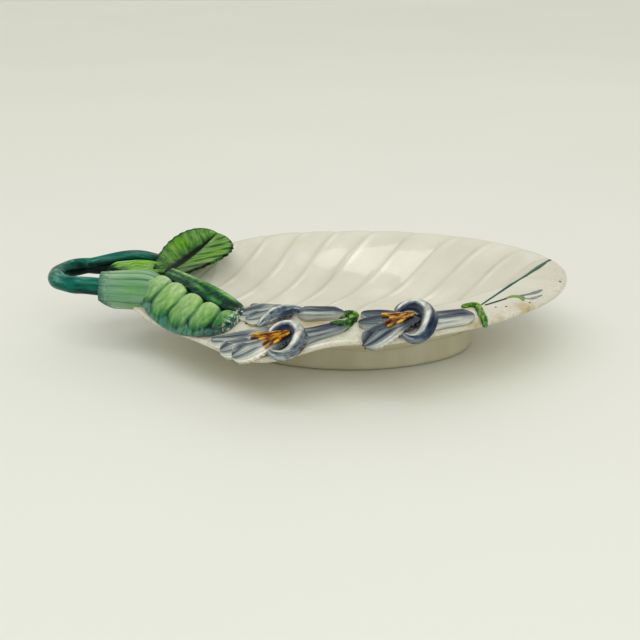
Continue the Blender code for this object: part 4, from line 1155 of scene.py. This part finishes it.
def ruffled(plan, name, node, rough, radius, *side_leaves):
    """Sepal laid along a plan on the lip, with its side leaves. rough is how strongly its skin curls."""
    flat = through(plan, SEPAL_RINGS)
    height = bowl_height(flat[:, 0], flat[:, 1]) + radius - PRESS
    path = np.column_stack([flat, height])
    wrap = np.pi * SEPAL_WRAPS * steps(len(path))
    ruffle = 1 + 0.05 * np.sin(2 * wrap) + 0.04 * np.sin(5 * wrap)
    body = radius * ruffle * (0.7 + 0.3 * np.sin(wrap / SEPAL_WRAPS) ** 0.5)

    def leafy(along, turn):
        curls = 0.11 * np.sin(2 * turn + 9 * along) + 0.09 * np.sin(3 * turn - 17 * along + 1)
        fine = 0.07 * np.sin(5 * turn + 31 * along) + 0.05 * np.sin(2 * np.pi * SEPAL_WRAPS * along)
        return rough * (curls + fine)

    points, along, across = sweep(path, body * 1.15, body, SEPAL_SIDES, swell=leafy)
    turn = 2 * np.pi * across
    # Painted light: lighter on top and where the curls swell, darker in their dips
    tone = 0.72 - 0.38 * rough + 0.14 * np.sin(turn) + 2.0 * leafy(along, turn)
    obj = joined([grid(name, points, along, across, tone=tone), *side_leaves], name)
    dress(obj, SEPAL, "sepal_glaze", node)


def side_leaf():
    """Small leaf of the hooked sepal, laid on the end of the first flower's tube."""
    place = lip_frame(*FLOWERS["flower_1"]["at"])
    run = through(SIDE_LEAF, SIDE_LEAF_RINGS)
    path = on_lip(place, run[:, 0], run[:, 1], SIDE_LEAF_HEIGHT)
    belly = arch(steps(len(path)))
    points, along, across = sweep(path, 0.4 + 1.9 * belly**0.8, 0.5 + 0.6 * belly, SIDE_LEAF_SIDES)
    tone = 0.45 - 0.35 * bump_at(across, 0.25, 0.05) + 0.1 * np.sin(40 * along)
    return grid("side_leaf", points, along, across, tone=tone)


# Brush lines on the lip, laid on as thin raised glaze: a stem that runs to the far rim and a bud beside it.
# Plan of each line, its half widths from end to end, its glaze, slot and tone
BRUSH_LINES = {
    "painted_stem": (
        ((82.0, -56.0), (112.0, -20.0), (142.0, 16.5)), (0.6, 0.8, 1.1, 1.5, 1.8, 1.3),
        STALK, "stalk_glaze", 0.48,
    ),
    "painted_bud_stalk": (
        ((84.0, -57.0), (91.0, -53.0), (98.0, -49.0)), (0.7, 0.9, 0.8), STALK, "stalk_glaze", 0.32,
    ),
    "painted_bud_sepal": (
        ((97.0, -49.0), (103.0, -46.0), (107.0, -48.0), (107.0, -54.0)), (0.5, 2.0, 2.4, 0.5),
        SEPAL, "sepal_glaze", 0.8,
    ),
    "painted_bud_upper": (
        ((106.0, -46.0), (115.0, -43.0), (122.0, -38.0)), (0.8, 1.4, 2.0, 0.9), PETAL, "petal_glaze", 0.4,
    ),
    "painted_bud_lower": (
        ((106.0, -49.0), (112.0, -51.0), (120.0, -46.0)), (0.5, 0.9, 1.3, 0.6), PETAL, "petal_glaze", 0.5,
    ),
}
BRUSH_HEIGHT = 0.3
BRUSH_RINGS = 90
BRUSH_SIDES = 12
# Brown specks in the glaze of the lip: plan place and half width
SPECKS = (
    (89.0, -61.0, 0.5), (95.0, -61.0, 0.7), (110.0, -56.0, 0.5), (137.0, -23.0, 0.9), (-24.0, -93.0, 0.5),
)
SPECK_TONE = 0.32


def brush_line(name, plan, half_widths, material, slot, level):
    flat = through(plan, BRUSH_RINGS)
    path = np.column_stack([flat, 0 * flat[:, 0]])
    wide = np.interp(steps(len(path)), steps(len(half_widths)), half_widths)
    points, along, across = sweep(path, wide, BRUSH_HEIGHT, BRUSH_SIDES, 4)
    points[..., 2] += lip_top(points[..., 0], points[..., 1])
    # Painted light: each line is a little lighter along its top
    obj = grid(name, points, along * 4, across, tone=level + 0.1 * np.sin(2 * np.pi * across), tint=0.2)
    dress(obj, material, slot)


def painted_lip():
    for name, line in BRUSH_LINES.items():
        brush_line(name, *line)
    for number, (x, y, half) in enumerate(SPECKS):
        brush_line(f"speck_{number}", ((x, y), (x + half, y)), (half, half), SPECK, "white_glaze", SPECK_TONE)


# Stage: floor, light and camera. The area lamps have a place and a size in metres, and a power
CAMERA_TARGET = (-9.0, 0.0, 15.5)
CAMERA_DISTANCE = 631.0
CAMERA_TURN = math.radians(-3.0)
CAMERA_RISE = math.radians(22.0)
FOCAL_PIXELS = 985.0
IMAGE_PIXELS = 640.0
SENSOR_WIDTH = 36.0
FLOOR_SIZE = 6.0
FLOOR_HEIGHT = -0.0002
FLOOR_COLOURS = ((224, 225, 224), (229, 230, 229))
FLOOR_ROUGHNESS = 0.6
WORLD_COLOUR = (1.0, 0.98, 0.83, 1.0)
WORLD_STRENGTH = 0.63
SKY_DIRECTION = (0.15, 0.6, -1.0)
SKY_POWER = 0.96
SKY_COLOUR = (0.96, 0.98, 0.89)
SKY_SPREAD = math.radians(45)
LAMPS = {
    "key": ((-0.7, -0.3, 1.2), 0.5, 1.7),
    "fill": ((0.4, -1.1, 0.9), 0.6, 3.4),
    "back": ((0.5, 0.9, 1.0), 1.2, 0.6),
}
LAMP_COLOUR = (0.93, 0.97, 1.0)


def aim(obj, direction):
    obj.rotation_euler = direction.to_track_quat("-Z", "Y").to_euler()


def studio_floor():
    bpy.ops.mesh.primitive_plane_add(size=FLOOR_SIZE, location=(0.0, 0.0, FLOOR_HEIGHT))
    floor = bpy.context.object
    floor.name = "studio_floor"
    material, tree, shader = new_material("studio_floor")
    cloud = noise(tree, add(tree, "TexCoord", {}).outputs["Object"], 3.0, 2.0)
    colour = mixed(tree, cloud, *(srgb(*shade) for shade in FLOOR_COLOURS))
    feed(tree, shader, {"Base Color": colour, "Roughness": FLOOR_ROUGHNESS})
    floor.data.materials.append(material)


def studio_light():
    world = bpy.data.worlds.new("studio")
    world.use_nodes = True
    sky = world.node_tree.nodes["Background"]
    feed(world.node_tree, sky, {"Color": WORLD_COLOUR, "Strength": WORLD_STRENGTH})
    scene.world = world
    scene.view_settings.view_transform = "Standard"
    sun = bpy.data.lights.new("sky", "SUN")
    sun.energy = SKY_POWER
    sun.color = SKY_COLOUR
    sun.angle = SKY_SPREAD
    aim(linked("sky", sun), Vector(SKY_DIRECTION))
    for name, (spot, size, power) in LAMPS.items():
        lamp = bpy.data.lights.new(name, "AREA")
        lamp.energy = power
        lamp.size = size
        lamp.color = LAMP_COLOUR
        made = linked(name, lamp)
        made.location = spot
        aim(made, -Vector(spot))


def photo_camera():
    lens = bpy.data.cameras.new("photo_angle")
    lens.sensor_width = SENSOR_WIDTH
    lens.lens = SENSOR_WIDTH * FOCAL_PIXELS / IMAGE_PIXELS
    made = linked("photo_angle", lens)
    level = Vector((math.sin(CAMERA_TURN), -math.cos(CAMERA_TURN), 0.0))
    back = level * math.cos(CAMERA_RISE) + Vector((0.0, 0.0, math.sin(CAMERA_RISE)))
    made.location = Vector((CAMERA_TARGET + SHIFT) * MM) + back * CAMERA_DISTANCE * MM
    aim(made, -back)
    scene.camera = made


veined_bowl()
oval_foot()
ribbed_sheath()
loop_handle()
upright_leaf()
folded_leaf()
small_leaf()
for flower_name in FLOWERS:
    lay_flower(flower_name)
ruffled(curl_plan(), "curled_sepal", "calyx_1", 1.0, SEPAL_RADIUS, side_leaf())
ruffled(wrap_plan(), "wrapped_sepal", "calyx_2", 0.4, BAND_RADIUS)
painted_lip()
studio_floor()
studio_light()
photo_camera()

bpy.context.view_layer.update()
